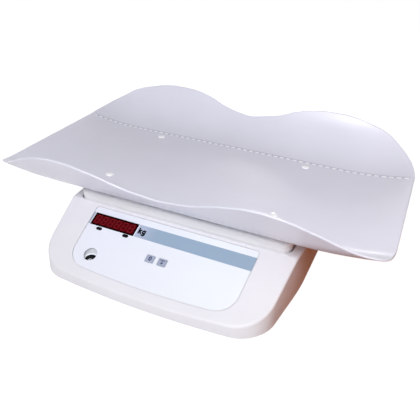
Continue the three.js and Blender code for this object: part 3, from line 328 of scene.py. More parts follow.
plasticFinish = {
    "clouds": 14.0, "cloudDetail": 4.0, "patches": 60.0, "smoother": 0.04, "rougher": 0.05,
    "coatRough": 0.12, "grainDetail": 2.0, "grainStrength": 0.25,
}


def mouldedPlastic(name, colour, darker, rough, grain, grainDepth, coat=0.0):
    made, tree, shader, spot = newMaterial(name)
    finish = plasticFinish
    clouds = ramp(tree, noise(tree, spot, finish["clouds"], finish["cloudDetail"]), *cloudSpan)
    setInputs(shader, {
        "Base Color": mixColour(tree, clouds, colourOf(colour), colourOf(darker)),
        "Roughness": varied(tree, spot, finish["patches"], rough - finish["smoother"], rough + finish["rougher"]),
        "Coat Weight": coat,
        "Coat Roughness": finish["coatRough"],
    })
    bump(tree, shader, noise(tree, spot, grain, finish["grainDetail"]), finish["grainStrength"], grainDepth)
    return made


metalFinish = {"smoother": 0.05, "rougher": 0.08, "lineStrength": 0.3, "lineDepth": 0.02}


def metal(name, colour, darker, rough, stretch, scale):
    made, tree, shader, spot = newMaterial(name)
    finish = metalFinish
    lines = noise(tree, vectorCalc(tree, "MULTIPLY", spot, stretch), scale)
    setInputs(shader, {
        "Base Color": mixColour(tree, ramp(tree, lines, *noiseSpan), colourOf(colour), colourOf(darker)),
        "Metallic": 1.0,
        "Roughness": ramp(tree, lines, *noiseSpan, rough - finish["smoother"], rough + finish["rougher"]),
    })
    bump(tree, shader, lines, finish["lineStrength"], finish["lineDepth"])
    return made


zincFinish = {
    "cells": 90.0, "pale": "#B9BCBB", "dark": "#9FA3A4", "rough": (0.32, 0.46),
    "grain": 900.0, "grainStrength": 0.2, "grainDepth": 0.01,
}


def zincSheet(name, finish):
    made, tree, shader, spot = newMaterial(name)
    cells = addNode(tree, "ShaderNodeTexVoronoi", {"Vector": spot, "Scale": finish["cells"]})
    shade = addNode(tree, "ShaderNodeSeparateColor", {"Color": cells.outputs["Color"]}).outputs[0]
    setInputs(shader, {
        "Base Color": mixColour(tree, shade, colourOf(finish["pale"]), colourOf(finish["dark"])),
        "Metallic": 1.0,
        "Roughness": ramp(tree, shade, 0.0, 1.0, *finish["rough"]),
    })
    bump(tree, shader, noise(tree, spot, finish["grain"]), finish["grainStrength"], finish["grainDepth"])
    return made


trayPlastic = mouldedPlastic("trayPlastic", "#E9E9F4", "#E6E6F1", 0.34, 1100.0, 0.015, 0.15)
housingPlastic = mouldedPlastic("housingPlastic", "#ECEBEE", "#E9E8EB", 0.42, 2000.0, 0.03)
# painted light: whiter than the housing plastic, so the platform cover and spacers read brighter
riserPlastic = mouldedPlastic("riserPlastic", "#FDFDFE", "#FAFAFB", 0.45, 2000.0, 0.03)
capPlastic = mouldedPlastic("capPlastic", "#FFFFFF", "#FBFAFD", 0.25, 1800.0, 0.005, 0.4)
blackPlastic = mouldedPlastic("blackPlastic", "#1B1B1E", "#232327", 0.38, 1700.0, 0.02)
footRubber = mouldedPlastic("footRubber", "#2C2C2E", "#363638", 0.72, 900.0, 0.05)
cableJacket = mouldedPlastic("cableJacket", "#2F3136", "#3A3C41", 0.55, 1200.0, 0.03)
keyPlastic = mouldedPlastic("keyPlastic", "#A8B0C3", "#A1A9BD", 0.4, 1500.0, 0.02)
screwSteel = metal("screwSteel", "#C9CBCE", "#A3A6AA", 0.3, (1.0, 1.0, 1.0), 400.0)
milledAluminium = metal("milledAluminium", "#D5D7DA", "#B9BCC0", 0.3, (0.06, 1.0, 1.0), 700.0)
zincPlate = zincSheet("zincPlate", zincFinish)


inkFinish = {"speckle": 2500.0, "paler": 1.25, "lift": 0.004}


def flatInk(name, colour, rough=0.4, shine=0.5):
    made, tree, shader, spot = newMaterial(name)
    speckle = ramp(tree, noise(tree, spot, inkFinish["speckle"]), *cloudSpan)
    paler, lift = inkFinish["paler"], inkFinish["lift"]
    pale = tuple(min(1.0, c * paler + lift) for c in colourOf(colour)[:3]) + (1.0,)
    setInputs(shader, {
        "Base Color": mixColour(tree, speckle, colourOf(colour), pale),
        "Roughness": rough,
        "Specular IOR Level": shine,
    })
    return made


blackInk = flatInk("blackInk", "#07070B", 0.5, 0.15)
legendInk = flatInk("legendInk", "#16224F", 0.5, 0.2)
# grey of the thin line that runs along the rule
ruleGrey = flatInk("ruleGrey", "#A7A9B6")
whiteInk = flatInk("whiteInk", "#DCDCE0")
markPlastic = flatInk("markPlastic", "#FFFFFF", 0.3)
# painted shade: the dark ticks set between the rule's white marks
paintedShadeInk = flatInk("paintedShadeInk", "#A4A8BA")


# tray: one sheet whose two flanges end in a wave
traySizes = {
    "Length": 540.0,
    "Thickness": 3.0,
    "Floor Top": 97.0,
    "Front Floor": 97.0,
    "Back Floor": 85.0,
    "Front Radius": 59.0,
    "Back Radius": 96.0,
    "Front Bend": 60.0,
    "Back Bend": 62.0,
    "Front Reach": 198.0,
    "Back Reach": 192.0,
    "End Rise": 10.3,
    "Rise Start": 170.0,
    "Rim Round": 1.6,
    "Columns": 190,
    "Rows": 150,
    "frontWaveShares": [0.815, 0.851, 0.934, 0.985, 0.969, 0.904, 0.816, 0.743, 0.678, 0.582, 0.42],
    "backWaveShares": [0.85, 0.893, 0.969, 1, 0.995, 0.958, 0.9, 0.798, 0.692, 0.573, 0.447],
    "weld": 0.004,
    "screwX": 121.0,
    "screwY": 74.0,
    "screwHole": 2.9,
}
screwPlaces = [(x * traySizes["screwX"], y * traySizes["screwY"]) for y in (-1, 1) for x in (-1, 1)]


def screwHoles(low, high):
    return [rod("hole", traySizes["screwHole"], low, high, x, y, 32) for x, y in screwPlaces]


def newTree(name, sockets):
    tree = bpy.data.node_groups.new(name, "GeometryNodeTree")
    for label, kind in sockets:
        tree.interface.new_socket(label, in_out="INPUT", socket_type=kind)
    tree.interface.new_socket("Geometry", in_out="OUTPUT", socket_type="NodeSocketGeometry")
    given = tree.nodes.new("NodeGroupInput").outputs
    return tree, given


def endTree(tree, geometry, material):
    real = addNode(tree, "GeometryNodeRealizeInstances", {"Geometry": geometry})
    dressed = addNode(tree, "GeometryNodeSetMaterial", {"Geometry": real.outputs[0], "Material": material})
    last = tree.nodes.new("NodeGroupOutput")
    tree.links.new(dressed.outputs[0], last.inputs["Geometry"])


def grow(name, tree, values, base=None):
    piece = newPiece(name, base or bpy.data.meshes.new(name))
    step = piece.modifiers.new("grow", "NODES")
    step.node_group = tree
    for item in tree.interface.items_tree:
        if item.in_out == "INPUT" and item.name in values:
            step[item.identifier] = values[item.name]
    return bake(piece)


def waveCurve(tree, turn, shares):
    made = addNode(tree, "ShaderNodeFloatCurve", {"Value": turn})
    curve = made.mapping.curves[0]
    last = len(shares) - 1
    curve.points[0].location = (0.0, shares[0])
    curve.points[-1].location = (1.0, shares[-1])
    for i in range(1, last):
        curve.points.new(i / last, shares[i])
    made.mapping.update()
    return made.outputs[0]


def surfaceNodes(tree, given, x, distance):
    side = calc(tree, "SIGN", distance)
    isBack = calc(tree, "GREATER_THAN", distance, 0.0)

    def either(front, back):
        return ramp(tree, isBack, 0.0, 1.0, given[front], given[back])

    floor = either("Front Floor", "Back Floor")
    radius = either("Front Radius", "Back Radius")
    bend = calc(tree, "RADIANS", either("Front Bend", "Back Bend"))
    reach = calc(tree, "ABSOLUTE", distance)
    past = calc(tree, "MAXIMUM", calc(tree, "SUBTRACT", reach, floor), 0.0)
    angle = calc(tree, "MINIMUM", calc(tree, "DIVIDE", past, radius), bend)
    straight = calc(tree, "MAXIMUM", calc(tree, "SUBTRACT", past, calc(tree, "MULTIPLY", radius, bend)), 0.0)
    sine, cosine = calc(tree, "SINE", angle), calc(tree, "COSINE", angle)
    flat = calc(tree, "MINIMUM", reach, floor)
    out = calc(tree, "ADD", flat, calc(tree, "MULTIPLY_ADD", radius, sine, calc(tree, "MULTIPLY", straight, cosine)))
    y = calc(tree, "MULTIPLY", side, out)
    curl = calc(tree, "MULTIPLY", radius, calc(tree, "SUBTRACT", 1.0, cosine))
    up = calc(tree, "MULTIPLY_ADD", straight, sine, curl)
    room = calc(tree, "SUBTRACT", calc(tree, "MULTIPLY", given["Length"], 0.5), given["Rise Start"])
    beyond = calc(tree, "MAXIMUM", calc(tree, "SUBTRACT", calc(tree, "ABSOLUTE", x), given["Rise Start"]), 0.0)
    share = calc(tree, "DIVIDE", beyond, room)
    rise = calc(tree, "MULTIPLY", given["End Rise"], calc(tree, "MULTIPLY", share, share))
    climb = calc(tree, "MULTIPLY", calc(tree, "MULTIPLY", given["End Rise"], share), 2.0)
    slope = calc(tree, "MULTIPLY", calc(tree, "SIGN", x), calc(tree, "DIVIDE", climb, room))
    z = calc(tree, "ADD", given["Floor Top"], calc(tree, "ADD", rise, up))
    tilt = calc(tree, "MULTIPLY", side, angle)
    normal = addNode(tree, "ShaderNodeCombineXYZ", {
        "X": calc(tree, "MULTIPLY", calc(tree, "MULTIPLY", slope, -1.0), calc(tree, "COSINE", tilt)),
        "Y": calc(tree, "MULTIPLY", calc(tree, "SINE", tilt), -1.0),
        "Z": calc(tree, "COSINE", tilt),
    }).outputs[0]
    point = addNode(tree, "ShaderNodeCombineXYZ", {"X": x, "Y": y, "Z": z}).outputs[0]
    return point, vectorCalc(tree, "NORMALIZE", normal), tilt, slope


def toScene(tree, point):
    scaled = addNode(tree, "ShaderNodeVectorMath", {"Vector": point, "Scale": mm}, operation="SCALE").outputs[0]
    return vectorCalc(tree, "ADD", scaled, (0.0, platformY, 0.0))


sizeSockets = [(k, "NodeSocketFloat") for k in traySizes if k[0].isupper() and k not in ("Columns", "Rows")]


def trayTree():
    tree, given = newTree("waveTray", sizeSockets + [
        ("Columns", "NodeSocketInt"), ("Rows", "NodeSocketInt"), ("Material", "NodeSocketMaterial")])
    grid = addNode(tree, "GeometryNodeMeshGrid", {
        "Size X": 2.0, "Size Y": 2.0, "Vertices X": given["Columns"], "Vertices Y": given["Rows"]}).outputs["Mesh"]
    where = addNode(tree, "ShaderNodeSeparateXYZ", {0: addNode(tree, "GeometryNodeInputPosition").outputs[0]})
    quarter = math.pi / 2
    turn, across = where.outputs["X"], where.outputs["Y"]
    halfLength = calc(tree, "MULTIPLY", given["Length"], 0.5)
    x = calc(tree, "MULTIPLY", calc(tree, "SINE", calc(tree, "MULTIPLY", turn, quarter)), halfLength)
    away = calc(tree, "ABSOLUTE", turn)
    front = calc(tree, "MULTIPLY", given["Front Reach"], waveCurve(tree, away, traySizes["frontWaveShares"]))
    back = calc(tree, "MULTIPLY", given["Back Reach"], waveCurve(tree, away, traySizes["backWaveShares"]))
    reach = ramp(tree, calc(tree, "GREATER_THAN", across, 0.0), 0.0, 1.0, front, back)
    distance = calc(tree, "MULTIPLY", calc(tree, "SINE", calc(tree, "MULTIPLY", across, quarter)), reach)
    point, normal, _, _ = surfaceNodes(tree, given, x, distance)
    toRim = calc(tree, "SUBTRACT", reach, calc(tree, "ABSOLUTE", distance))
    toEnd = calc(tree, "SUBTRACT", halfLength, calc(tree, "ABSOLUTE", x))
    near = calc(tree, "MINIMUM", calc(tree, "DIVIDE", calc(tree, "MINIMUM", toRim, toEnd), given["Rim Round"]), 1.0)
    far = calc(tree, "SUBTRACT", 1.0, calc(tree, "MAXIMUM", near, 0.0))
    square = calc(tree, "MULTIPLY", far, far)
    full = calc(tree, "SQRT", calc(tree, "MAXIMUM", calc(tree, "SUBTRACT", 1.0, square), 0.0))
    half = calc(tree, "MULTIPLY", given["Thickness"], 0.5)
    shells = []
    for side in (1.0, -1.0):
        lift = calc(tree, "SUBTRACT", calc(tree, "MULTIPLY", calc(tree, "MULTIPLY", half, full), side), half)
        move = addNode(tree, "ShaderNodeVectorMath", {"Vector": normal, "Scale": lift}, operation="SCALE").outputs[0]
        spot = toScene(tree, vectorCalc(tree, "ADD", point, move))
        shells.append(addNode(tree, "GeometryNodeSetPosition", {"Geometry": grid, "Position": spot}).outputs[0])
    under = addNode(tree, "GeometryNodeFlipFaces", {"Mesh": shells[1]}).outputs[0]
    both = addNode(tree, "GeometryNodeJoinGeometry")
    tree.links.new(under, both.inputs[0])
    tree.links.new(shells[0], both.inputs[0])
    weld = {"Geometry": both.outputs[0], "Distance": traySizes["weld"] * mm}
    closed = addNode(tree, "GeometryNodeMergeByDistance", weld).outputs[0]
    endTree(tree, closed, given["Material"])
    return tree


def trayValues(sizes, material):
    values = {k: v for k, v in sizes.items() if k[0].isupper()}
    values["Material"] = material
    return values


tray = grow("trayShell", trayTree(), trayValues(traySizes, trayPlastic))
cutFrom(tray, *screwHoles(90.0, 100.0))
finishPiece(tray, trayPlastic, "platform", ["tray"], 50)
print("tray:", len(tray.data.polygons), "faces")


# the rule along the back of the tray floor: plain marks, painted shade between them, and a line
ruleSizes = {
    "Distance": 87.6,
    "Step": 10.0,
    "Count": 53,
    "Mark Length": 4.8,
    "Mark Width": 2.0,
    "Mark Height": 0.45,
    "Line Distance": 90.6,
    "Line Width": 0.9,
}
# painted shade: short darker ticks that stand between the white marks
shadeSizes = {"Count": 52, "Mark Length": 2.4, "Mark Width": 2.0, "Mark Height": 0.2}  # between the marks
lineSizes = {"endGap": 6, "steps": 60, "sunk": -0.4, "proud": 0.05}


def ruleTree():
    tree, given = newTree("ruleMarks", sizeSockets + [(k, "NodeSocketFloat") for k in ruleSizes if k != "Count"]
                          + [("Count", "NodeSocketInt"), ("Material", "NodeSocketMaterial")])
    line = addNode(tree, "GeometryNodeMeshLine", {"Count": given["Count"]}).outputs[0]
    index = addNode(tree, "GeometryNodeInputIndex").outputs[0]
    middle = calc(tree, "MULTIPLY", calc(tree, "SUBTRACT", given["Count"], 1.0), 0.5)
    x = calc(tree, "MULTIPLY", calc(tree, "SUBTRACT", index, middle), given["Step"])
    point, _, tilt, slope = surfaceNodes(tree, given, x, given["Distance"])
    spots = addNode(tree, "GeometryNodeSetPosition", {"Geometry": line, "Position": toScene(tree, point)}).outputs[0]
    lean = calc(tree, "MULTIPLY", calc(tree, "ARCTANGENT", slope), -1.0)
    turn = addNode(tree, "ShaderNodeCombineXYZ", {"X": tilt, "Y": lean}).outputs[0]
    size = addNode(tree, "ShaderNodeCombineXYZ", {
        "X": calc(tree, "MULTIPLY", given["Mark Length"], mm),
        "Y": calc(tree, "MULTIPLY", given["Mark Width"], mm),
        "Z": calc(tree, "MULTIPLY", given["Mark Height"], 2 * mm),
    }).outputs[0]
    mark = addNode(tree, "GeometryNodeMeshCube", {"Size": size}).outputs[0]
    stamp = {"Points": spots, "Instance": mark, "Rotation": turn}
    rows = addNode(tree, "GeometryNodeInstanceOnPoints", stamp).outputs[0]
    endTree(tree, rows, given["Material"])
    return tree


def trayHeight(x, distance):
    sizes = traySizes
    share = max(abs(x) - sizes["Rise Start"], 0) / (sizes["Length"] / 2 - sizes["Rise Start"])
    bend = min(max(distance - sizes["Back Floor"], 0) / sizes["Back Radius"], math.radians(sizes["Back Bend"]))
    y = min(distance, sizes["Back Floor"]) + sizes["Back Radius"] * math.sin(bend)
    z = sizes["Floor Top"] + sizes["End Rise"] * share ** 2 + sizes["Back Radius"] * (1 - math.cos(bend))
    return y, z


def ruleLine(line):
    half = traySizes["Length"] / 2 - line["endGap"]
    steps, sunk, proud, wide = line["steps"], line["sunk"], line["proud"], ruleSizes["Line Width"]
    points, faces = [], []
    for i in range(steps + 1):
        x = half * (2 * i / steps - 1)
        for away, lift in ((0, sunk), (0, proud), (wide, proud), (wide, sunk)):
            y, z = trayHeight(x, ruleSizes["Line Distance"] + away)
            points.append((x, y, z + lift))
    for i in range(steps):
        a, b = 4 * i, 4 * i + 4
        faces += [(a + k, b + k, b + (k + 1) % 4, a + (k + 1) % 4) for k in range(4)]
    faces += [(0, 1, 2, 3), (4 * steps + 3, 4 * steps + 2, 4 * steps + 1, 4 * steps)]
    return pieceFrom("ruleLine", points, faces)


ruleValues = trayValues(traySizes, markPlastic)
ruleValues.update(ruleSizes)
finishPiece(grow("ruleMarks", ruleTree(), ruleValues), markPlastic, "platform")
ruleValues.update(shadeSizes, Material=paintedShadeInk)
finishPiece(grow("ruleShades", ruleTree(), ruleValues), paintedShadeInk, "platform")
finishPiece(ruleLine(lineSizes), ruleGrey, "platform")


# screws, posts and other pieces that stand at several places
def copiesTree(name):
    tree, given = newTree(name, [
        ("Places", "NodeSocketGeometry"), ("Piece", "NodeSocketObject"), ("Material", "NodeSocketMaterial")])
    piece = addNode(tree, "GeometryNodeObjectInfo", {"Object": given["Piece"]}).outputs["Geometry"]
    rows = addNode(tree, "GeometryNodeInstanceOnPoints", {"Points": given["Places"], "Instance": piece}).outputs[0]
    endTree(tree, rows, given["Material"])
    return tree


repeatTree = copiesTree("repeatPiece")


def repeat(name, piece, places, material):
    base = bpy.data.meshes.new(name)
    base.from_pydata([(x * mm, y * mm, 0.0) for x, y in places], [], [])
    made = grow(name, repeatTree, {"Piece": piece, "Material": material}, base)
    drop(piece)
    return made


capSizes = {
    "radius": 5.6, "height": 2.1, "edge": 0.5, "seat": 97.05, "shank": 2.5, "bottom": 66.3,
    "point": 0.7, "pitch": 0.8, "threadDepth": 0.3, "plain": 9,
}


def screwCap(sizes):
    seat, radius, height, edge = (sizes[k] for k in ("seat", "radius", "height", "edge"))
    shank, bottom, pitch = sizes["shank"], sizes["bottom"], sizes["pitch"]
    dome = [(radius * math.cos(t), seat + edge + (height - edge) * math.sin(t))
            for t in (math.pi / 2 * i / 10 for i in range(11))]
    rows = [(0, bottom), (shank - sizes["point"], bottom)]
    low, high = bottom + 1, seat - sizes["plain"]
    for i in range(int((high - low) / pitch)):
        rows += [(shank - sizes["threadDepth"], low + pitch * i), (shank, low + pitch * i + pitch / 2)]
    rows += [(shank, high), (shank, seat), (radius, seat)] + dome[:-1] + [(0, seat + height)]
    return turned("screwCap", rows, 40)


def corners(prefix):
    return [prefix + "_" + c for c in ("front_left", "front_right", "rear_left", "rear_right")]


caps = repeat("trayScrewCaps", screwCap(capSizes), screwPlaces, capPlastic)
finishPiece(caps, capPlastic, "platform", corners("tray_screw"), 30)

spacerSizes = {"radius": 11.0, "waist": 8.5, "bore": 2.9, "low": 80.1, "high": 93.9, "edge": 0.6}


def spacer(sizes):
    radius, waist, bore, low, high, edge = (sizes[k] for k in ("radius", "waist", "bore", "low", "high", "edge"))
    lip = (radius - waist) / 2
    profile = [(bore, low), (radius - edge, low), (radius, low + edge), (radius, low + lip)]
    profile += [(waist, low + 2 * lip + 1), (waist, high - 2 * lip - 1)]
    profile += [(radius, high - lip), (radius, high - edge), (radius - edge, high), (bore, high), (bore, low)]
    return turned("spacer", profile, 56)


spacers = repeat("traySpacers", spacer(spacerSizes), screwPlaces, riserPlastic)
finishPiece(spacers, riserPlastic, "platform", corners("tray_spacer"), 30)


# platform cover, ribbed inside, with a boss over each tray screw
coverSizes = {
    "halfX": 154.0, "halfY": 102.4, "top": 80.0, "bottom": 58.0, "corner": 12.0,
    "edge": 3.0, "wall": 2.5, "innerEdge": 1.0,
    "grooves": (69.2, 72.6), "grooveWidth": 1.1, "grooveDepth": 0.3,
    "boss": 7.5, "bossBottom": 71.3, "ribDepth": 5.0, "ribWidth": 2.0, "foot": 0.4,
}


def platformCover(sizes):
    def outline(inset):
        return roundedRectangle(sizes["halfX"], sizes["halfY"], sizes["corner"], inset, 12)

    top, bottom, wall, foot = sizes["top"], sizes["bottom"], sizes["wall"], sizes["foot"]
    wide, deep = sizes["grooveWidth"], sizes["grooveDepth"]
    rings = [at(outline(foot), bottom), at(outline(0), bottom + foot)]
    for low in sizes["grooves"]:
        rings += [at(outline(0), low), at(outline(deep), low + deep)]
        rings += [at(outline(deep), low + wide - deep), at(outline(0), low + wide)]
    rings += [at(outline(inset), top - fall) for inset, fall in edgeSteps(sizes["edge"], 6)]
    cover = skin("platformCover", rings)
    ceiling = top - wall
    hollow = [at(outline(wall), bottom - 1)]
    hollow += [at(outline(wall + inset), ceiling - fall) for inset, fall in edgeSteps(sizes["innerEdge"], 3)]
    cutFrom(cover, skin("hollow", hollow))
    ribLow, ribHigh, half = ceiling - sizes["ribDepth"], ceiling + 1, sizes["ribWidth"] / 2
    screwX, screwY, endX, endY = traySizes["screwX"], traySizes["screwY"], sizes["halfX"] - 1, sizes["halfY"] - 1
    ribs = [block("rib", (-endX, endX), (y - half, y + half), (ribLow, ribHigh)) for y in (-screwY, screwY)]
    ribs += [block("rib", (x - half, x + half), (-endY, endY), (ribLow, ribHigh)) for x in (-screwX, screwX)]
    bosses = [rod("boss", sizes["boss"], sizes["bossBottom"], ribHigh, x, y) for x, y in screwPlaces]
    joinTo(cover, *ribs, *bosses)
    return cutFrom(cover, *screwHoles(60.0, 90.0))


finishPiece(platformCover(coverSizes), riserPlastic, "platform", ["platform_cover"])


# housing: a shell with a sloping panel and a well for the platform
housingSizes = {
    "halfX": 169.5, "noseHalfX": 156.0, "frontY": -213.5, "noseY": -200.5, "shoulderY": -85.0, "rearY": 117.0,
    "rearRadius": 26.0, "noseRadius": 48.0, "shoulderRadius": 400.0, "bowRadius": 1239.7,
    "bottom": 6.0, "rim": 66.6, "draft": 1.2, "edge": 3.0, "wall": 3.0, "panelAngle": 24.6,
    "wellHalfX": 155.8, "wellHalfY": 104.2, "wellCorner": 13.8, "deckTop": 50.0, "deckWidth": 23.0,
    "lipHeight": 5.0, "lipWidth": 2.4, "lipSunk": 1.5, "foot": 0.5, "innerEdge": 1.5,
    "recessMore": 0.8, "recessDepth": 1.4,
}
panelTilt = math.radians(housingSizes["panelAngle"])


def housingOutline(inset):
    s = housingSizes
    front, nose = (0.0, s["frontY"]), (s["noseHalfX"], s["noseY"])
    shoulder, rear = (s["halfX"], s["shoulderY"]), (s["halfX"], s["rearY"])
    bow = roundCorner((-nose[0], nose[1]), front, nose, s["bowRadius"], inset, 16)[8:]
    half = bow + roundCorner(front, nose, shoulder, s["noseRadius"], inset, 24)
    side = roundCorner(nose, shoulder, rear, s["shoulderRadius"], inset, 6)
    side.append(Vector((s["halfX"] - inset, (s["shoulderY"] + s["rearY"]) / 2)))
    crease = next(i for i, p in enumerate(side) if p[1] > -s["wellHalfY"])
    below = side[crease - 1] if crease else half[-1]
    above = side[crease]
    share = (-s["wellHalfY"] - below[1]) / (above[1] - below[1])
    side.insert(crease, below + (above - below) * share)
    half += side + roundCorner(shoulder, rear, (-s["halfX"], s["rearY"]), s["rearRadius"], inset, 14)
    step = half[1][0] / 3
    mirrored = [(-p[0], p[1]) for p in reversed(half[1:])]
    return [(step, half[0][1])] + [tuple(p) for p in half[1:]] + mirrored + [(-step, half[0][1])]


def panelHeight(y, depth=0.0):
    s = housingSizes
    slope = s["rim"] + (y + s["wellHalfY"]) * math.tan(panelTilt) - depth / math.cos(panelTilt)
    return min(slope, s["rim"] - depth)


def housingBlock(name, inset, bottom, depth, edge, foot=0.0):
    rings = [at(housingOutline(inset + foot), bottom)]
    if foot:
        rings.append(at(housingOutline(inset), bottom + foot))
    for more, fall in edgeSteps(edge, 5):
        rings.append([(x, y, panelHeight(y, depth) - fall)
                      for x, y in housingOutline(inset + housingSizes["draft"] + more)])
    return skin(name, rings, ladder=True)


panelTop = place((0, -housingSizes["wellHalfY"], housingSizes["rim"]))
panelFrame = Matrix.Translation(panelTop) @ Matrix.Rotation(panelTilt, 4, "X")
flatFrame = Matrix.Translation((0, -platformY, 0))


def onPanel(piece):
    return turnAll(piece, panelFrame @ flatFrame)


def panelBlock(name, x, v, width, height, low, high, radius=0.0):
    if radius:
        return onPanel(plate(name, roundedRectangle(width / 2, height / 2, radius, 0, 5, x, -v), low, high))
    return onPanel(block(name, (x - width / 2, x + width / 2), (-v - height / 2, height / 2 - v), (low, high)))


panelSizes = {
    "topInset": 5.7, "halfX": 119.5, "noseHalfX": 115.5, "noseV": 94.5, "bowV": 102.5,
    "topRadius": 4.0, "noseRadius": 28.0, "bowRadius": 1200.0, "thickness": 0.5,
    "windowX": -81.3, "windowV": 24.6, "windowWidth": 67.8, "windowHeight": 19.0,
    "keyXs": (-8.9, 8.3), "keyV": 57.8, "keyWidth": 11.8, "keyHeight": 10.4,
    "levelX": -89.0, "levelY": -173.5, "levelHole": 9.2, "slide": 0.35, "keyHoleCorner": 1.2, "sunk": 0.02,
}
levelV = -(panelSizes["levelY"] + housingSizes["wellHalfY"]) / math.cos(panelTilt)


def overlayOutline(inset):
    s = panelSizes
    shape = [(s["halfX"], -s["topInset"], s["topRadius"]), (-s["halfX"], -s["topInset"], s["topRadius"]),
             (-s["noseHalfX"], -s["noseV"], s["noseRadius"]), (0.0, -s["bowV"], s["bowRadius"]),
             (s["noseHalfX"], -s["noseV"], s["noseRadius"])]
    return roundedOutline(shape, inset, 14)


def panelHoles(low, high):
    s, more = panelSizes, 2 * panelSizes["slide"]
    wide, tall = s["windowWidth"] + more, s["windowHeight"] + more
    holes = [panelBlock("hole", s["windowX"], s["windowV"], wide, tall, low, high)]
    wide, tall = s["keyWidth"] + more, s["keyHeight"] + more
    holes += [panelBlock("hole", x, s["keyV"], wide, tall, low, high, s["keyHoleCorner"]) for x in s["keyXs"]]
    holes.append(onPanel(rod("hole", s["levelHole"], low, high, s["levelX"], -levelV, 64)))
    return holes


bossSizes = {
    "casePlaces": ((132.0, -182.0), (146.8, -95.2), (146.8, 95.2)),
    "case": 4.6, "caseLow": 10.3, "caseSunk": 1.5, "caseBore": 2.05, "caseBoreTop": 20.3,
    "level": 13.1, "levelLow": 16.7, "levelBore": 10.5, "levelBoreLow": 14.7, "levelBoreGap": 2,
    "boardPlaces": ((-109.4, 41.4), (25.4, 16.6)),
    "board": 3.6, "boardLow": -12.0, "boardTop": -1.5, "boardBore": 1.55, "boardBoreTop": -3.7,
    "inletX": 96, "inletZ": 30, "inletBore": 5.9, "inletYs": (-119, -108),
    "switchXs": (51.1, 64.9), "switchYs": (108, 119), "switchZs": (20.1, 39.9),
}
caseScrewPlaces = [(side * x, y) for side in (-1, 1) for x, y in bossSizes["casePlaces"]]


def topHousing(s, boss):
    levelX, levelY = panelSizes["levelX"], panelSizes["levelY"]
    housing = housingBlock("topHousing", 0, s["bottom"], 0, s["edge"], s["foot"])
    well = roundedRectangle(s["wellHalfX"], s["wellHalfY"], s["wellCorner"], 0, 14)
    wellOut = roundedRectangle(*(s[k] + s["wall"] for k in ("wellHalfX", "wellHalfY", "wellCorner")), 0, 14)

    def opening(more):
        narrow = s["deckWidth"] - more
        return roundedRectangle(s["wellHalfX"] - narrow, s["wellHalfY"] - narrow, s["wellCorner"] + more, 0, 14)

    deckTop, over = s["deckTop"], s["rim"] + 2
    lipTop, deckLow = deckTop + s["lipHeight"], deckTop - s["wall"]
    added = plate("added", wellOut, deckLow, over)
    pillars = []
    for x, y in caseScrewPlaces:
        high = over if y < -s["wellHalfY"] else deckTop - boss["caseSunk"]
        pillars.append(rod("pillar", boss["case"], boss["caseLow"], high, x, y, 32))
    pillars.append(rod("tube", boss["level"], boss["levelLow"], over, levelX, levelY, 64))
    joinTo(added, *pillars)
    combine(added, "INTERSECT", housingBlock("limit", 0, s["bottom"], 0, s["edge"], s["foot"]))
    cutFrom(housing, housingBlock("inside", s["wall"], s["bottom"] - 2, s["wall"], s["innerEdge"]))
    joinTo(housing, added)
    pillars = [onPanel(rod("pillar", boss["board"], boss["boardLow"], boss["boardTop"], x, -v, 32))
               for x, v in boss["boardPlaces"]]
    joinTo(housing, *pillars)
    cutFrom(housing, plate("well", well, deckTop, s["rim"] + 4))
    joinTo(housing, plate("lip", opening(s["lipWidth"]), deckTop - s["lipSunk"], lipTop))
    cutFrom(housing, plate("opening", opening(0), deckLow - 2, lipTop + 2))
    cutFrom(housing, onPanel(plate("recess", overlayOutline(-s["recessMore"]), -s["recessDepth"], 2)))
    cutFrom(housing, *panelHoles(-14, 2))
    bores = [rod("bore", boss["caseBore"], 8, boss["caseBoreTop"], x, y, 24) for x, y in caseScrewPlaces]
    bores += [onPanel(rod("bore", boss["boardBore"], -14, boss["boardBoreTop"], x, -v, 24))
              for x, v in boss["boardPlaces"]]
    underPanel = panelHeight(levelY, s["wall"]) - boss["levelBoreGap"]
    bores.append(rod("bore", boss["levelBore"], boss["levelBoreLow"], underPanel, levelX, levelY, 64))
    inlet = rod("inletHole", boss["inletBore"], *boss["inletYs"], boss["inletX"], boss["inletZ"], 40)
    standing = Matrix.Translation((0, platformY, 0)) @ Matrix.Rotation(math.radians(90), 4, "X") @ flatFrame
    bores.append(turnAll(inlet, standing))
    bores.append(block("switchHole", boss["switchXs"], boss["switchYs"], boss["switchZs"]))
    return cutFrom(housing, *bores)


housing = topHousing(housingSizes, bossSizes)
finishPiece(housing, housingPlastic, "base", ["top_housing"], 30)
print("housing:", len(housing.data.polygons), "faces")


# panel label: a white field with one blue-grey band, holes for window, keys and level
printSizes = {
    "band": (15.0, 34.2), "clear": (1.3, 1.5), "fade": (-44.0, -14.0), "left": (-100.0, -100.5), "soft": 0.12,
    "fieldLeft": "#ECEEFA", "fieldRight": "#F1F6F6", "fieldLightSpan": (-100.0, 60.0), "cloud": "#F0F3F8", "clouds": 25.0,
    "bandLeft": "#B4BED2", "bandRight": "#98AEC2", "stripe": "#A2A9BC",
    "patches": 3000.0, "rough": (0.26, 0.34), "coat": 0.2, "grain": 3500.0, "grainStrength": 0.15, "grainDepth": 0.01,
}


def panelPlaces(tree, spot):  # across and down the panel, in millimetres from the middle of its upper edge
    where = addNode(tree, "ShaderNodeSeparateXYZ", {0: spot}).outputs
    hinge = platformY - housingSizes["wellHalfY"] * mm
    down = calc(tree, "DIVIDE", calc(tree, "SUBTRACT", hinge, where["Y"]), math.cos(panelTilt) * mm)
    return calc(tree, "DIVIDE", where["X"], mm), down


def away(tree, value, middle):
    return calc(tree, "ABSOLUTE", calc(tree, "SUBTRACT", value, middle))


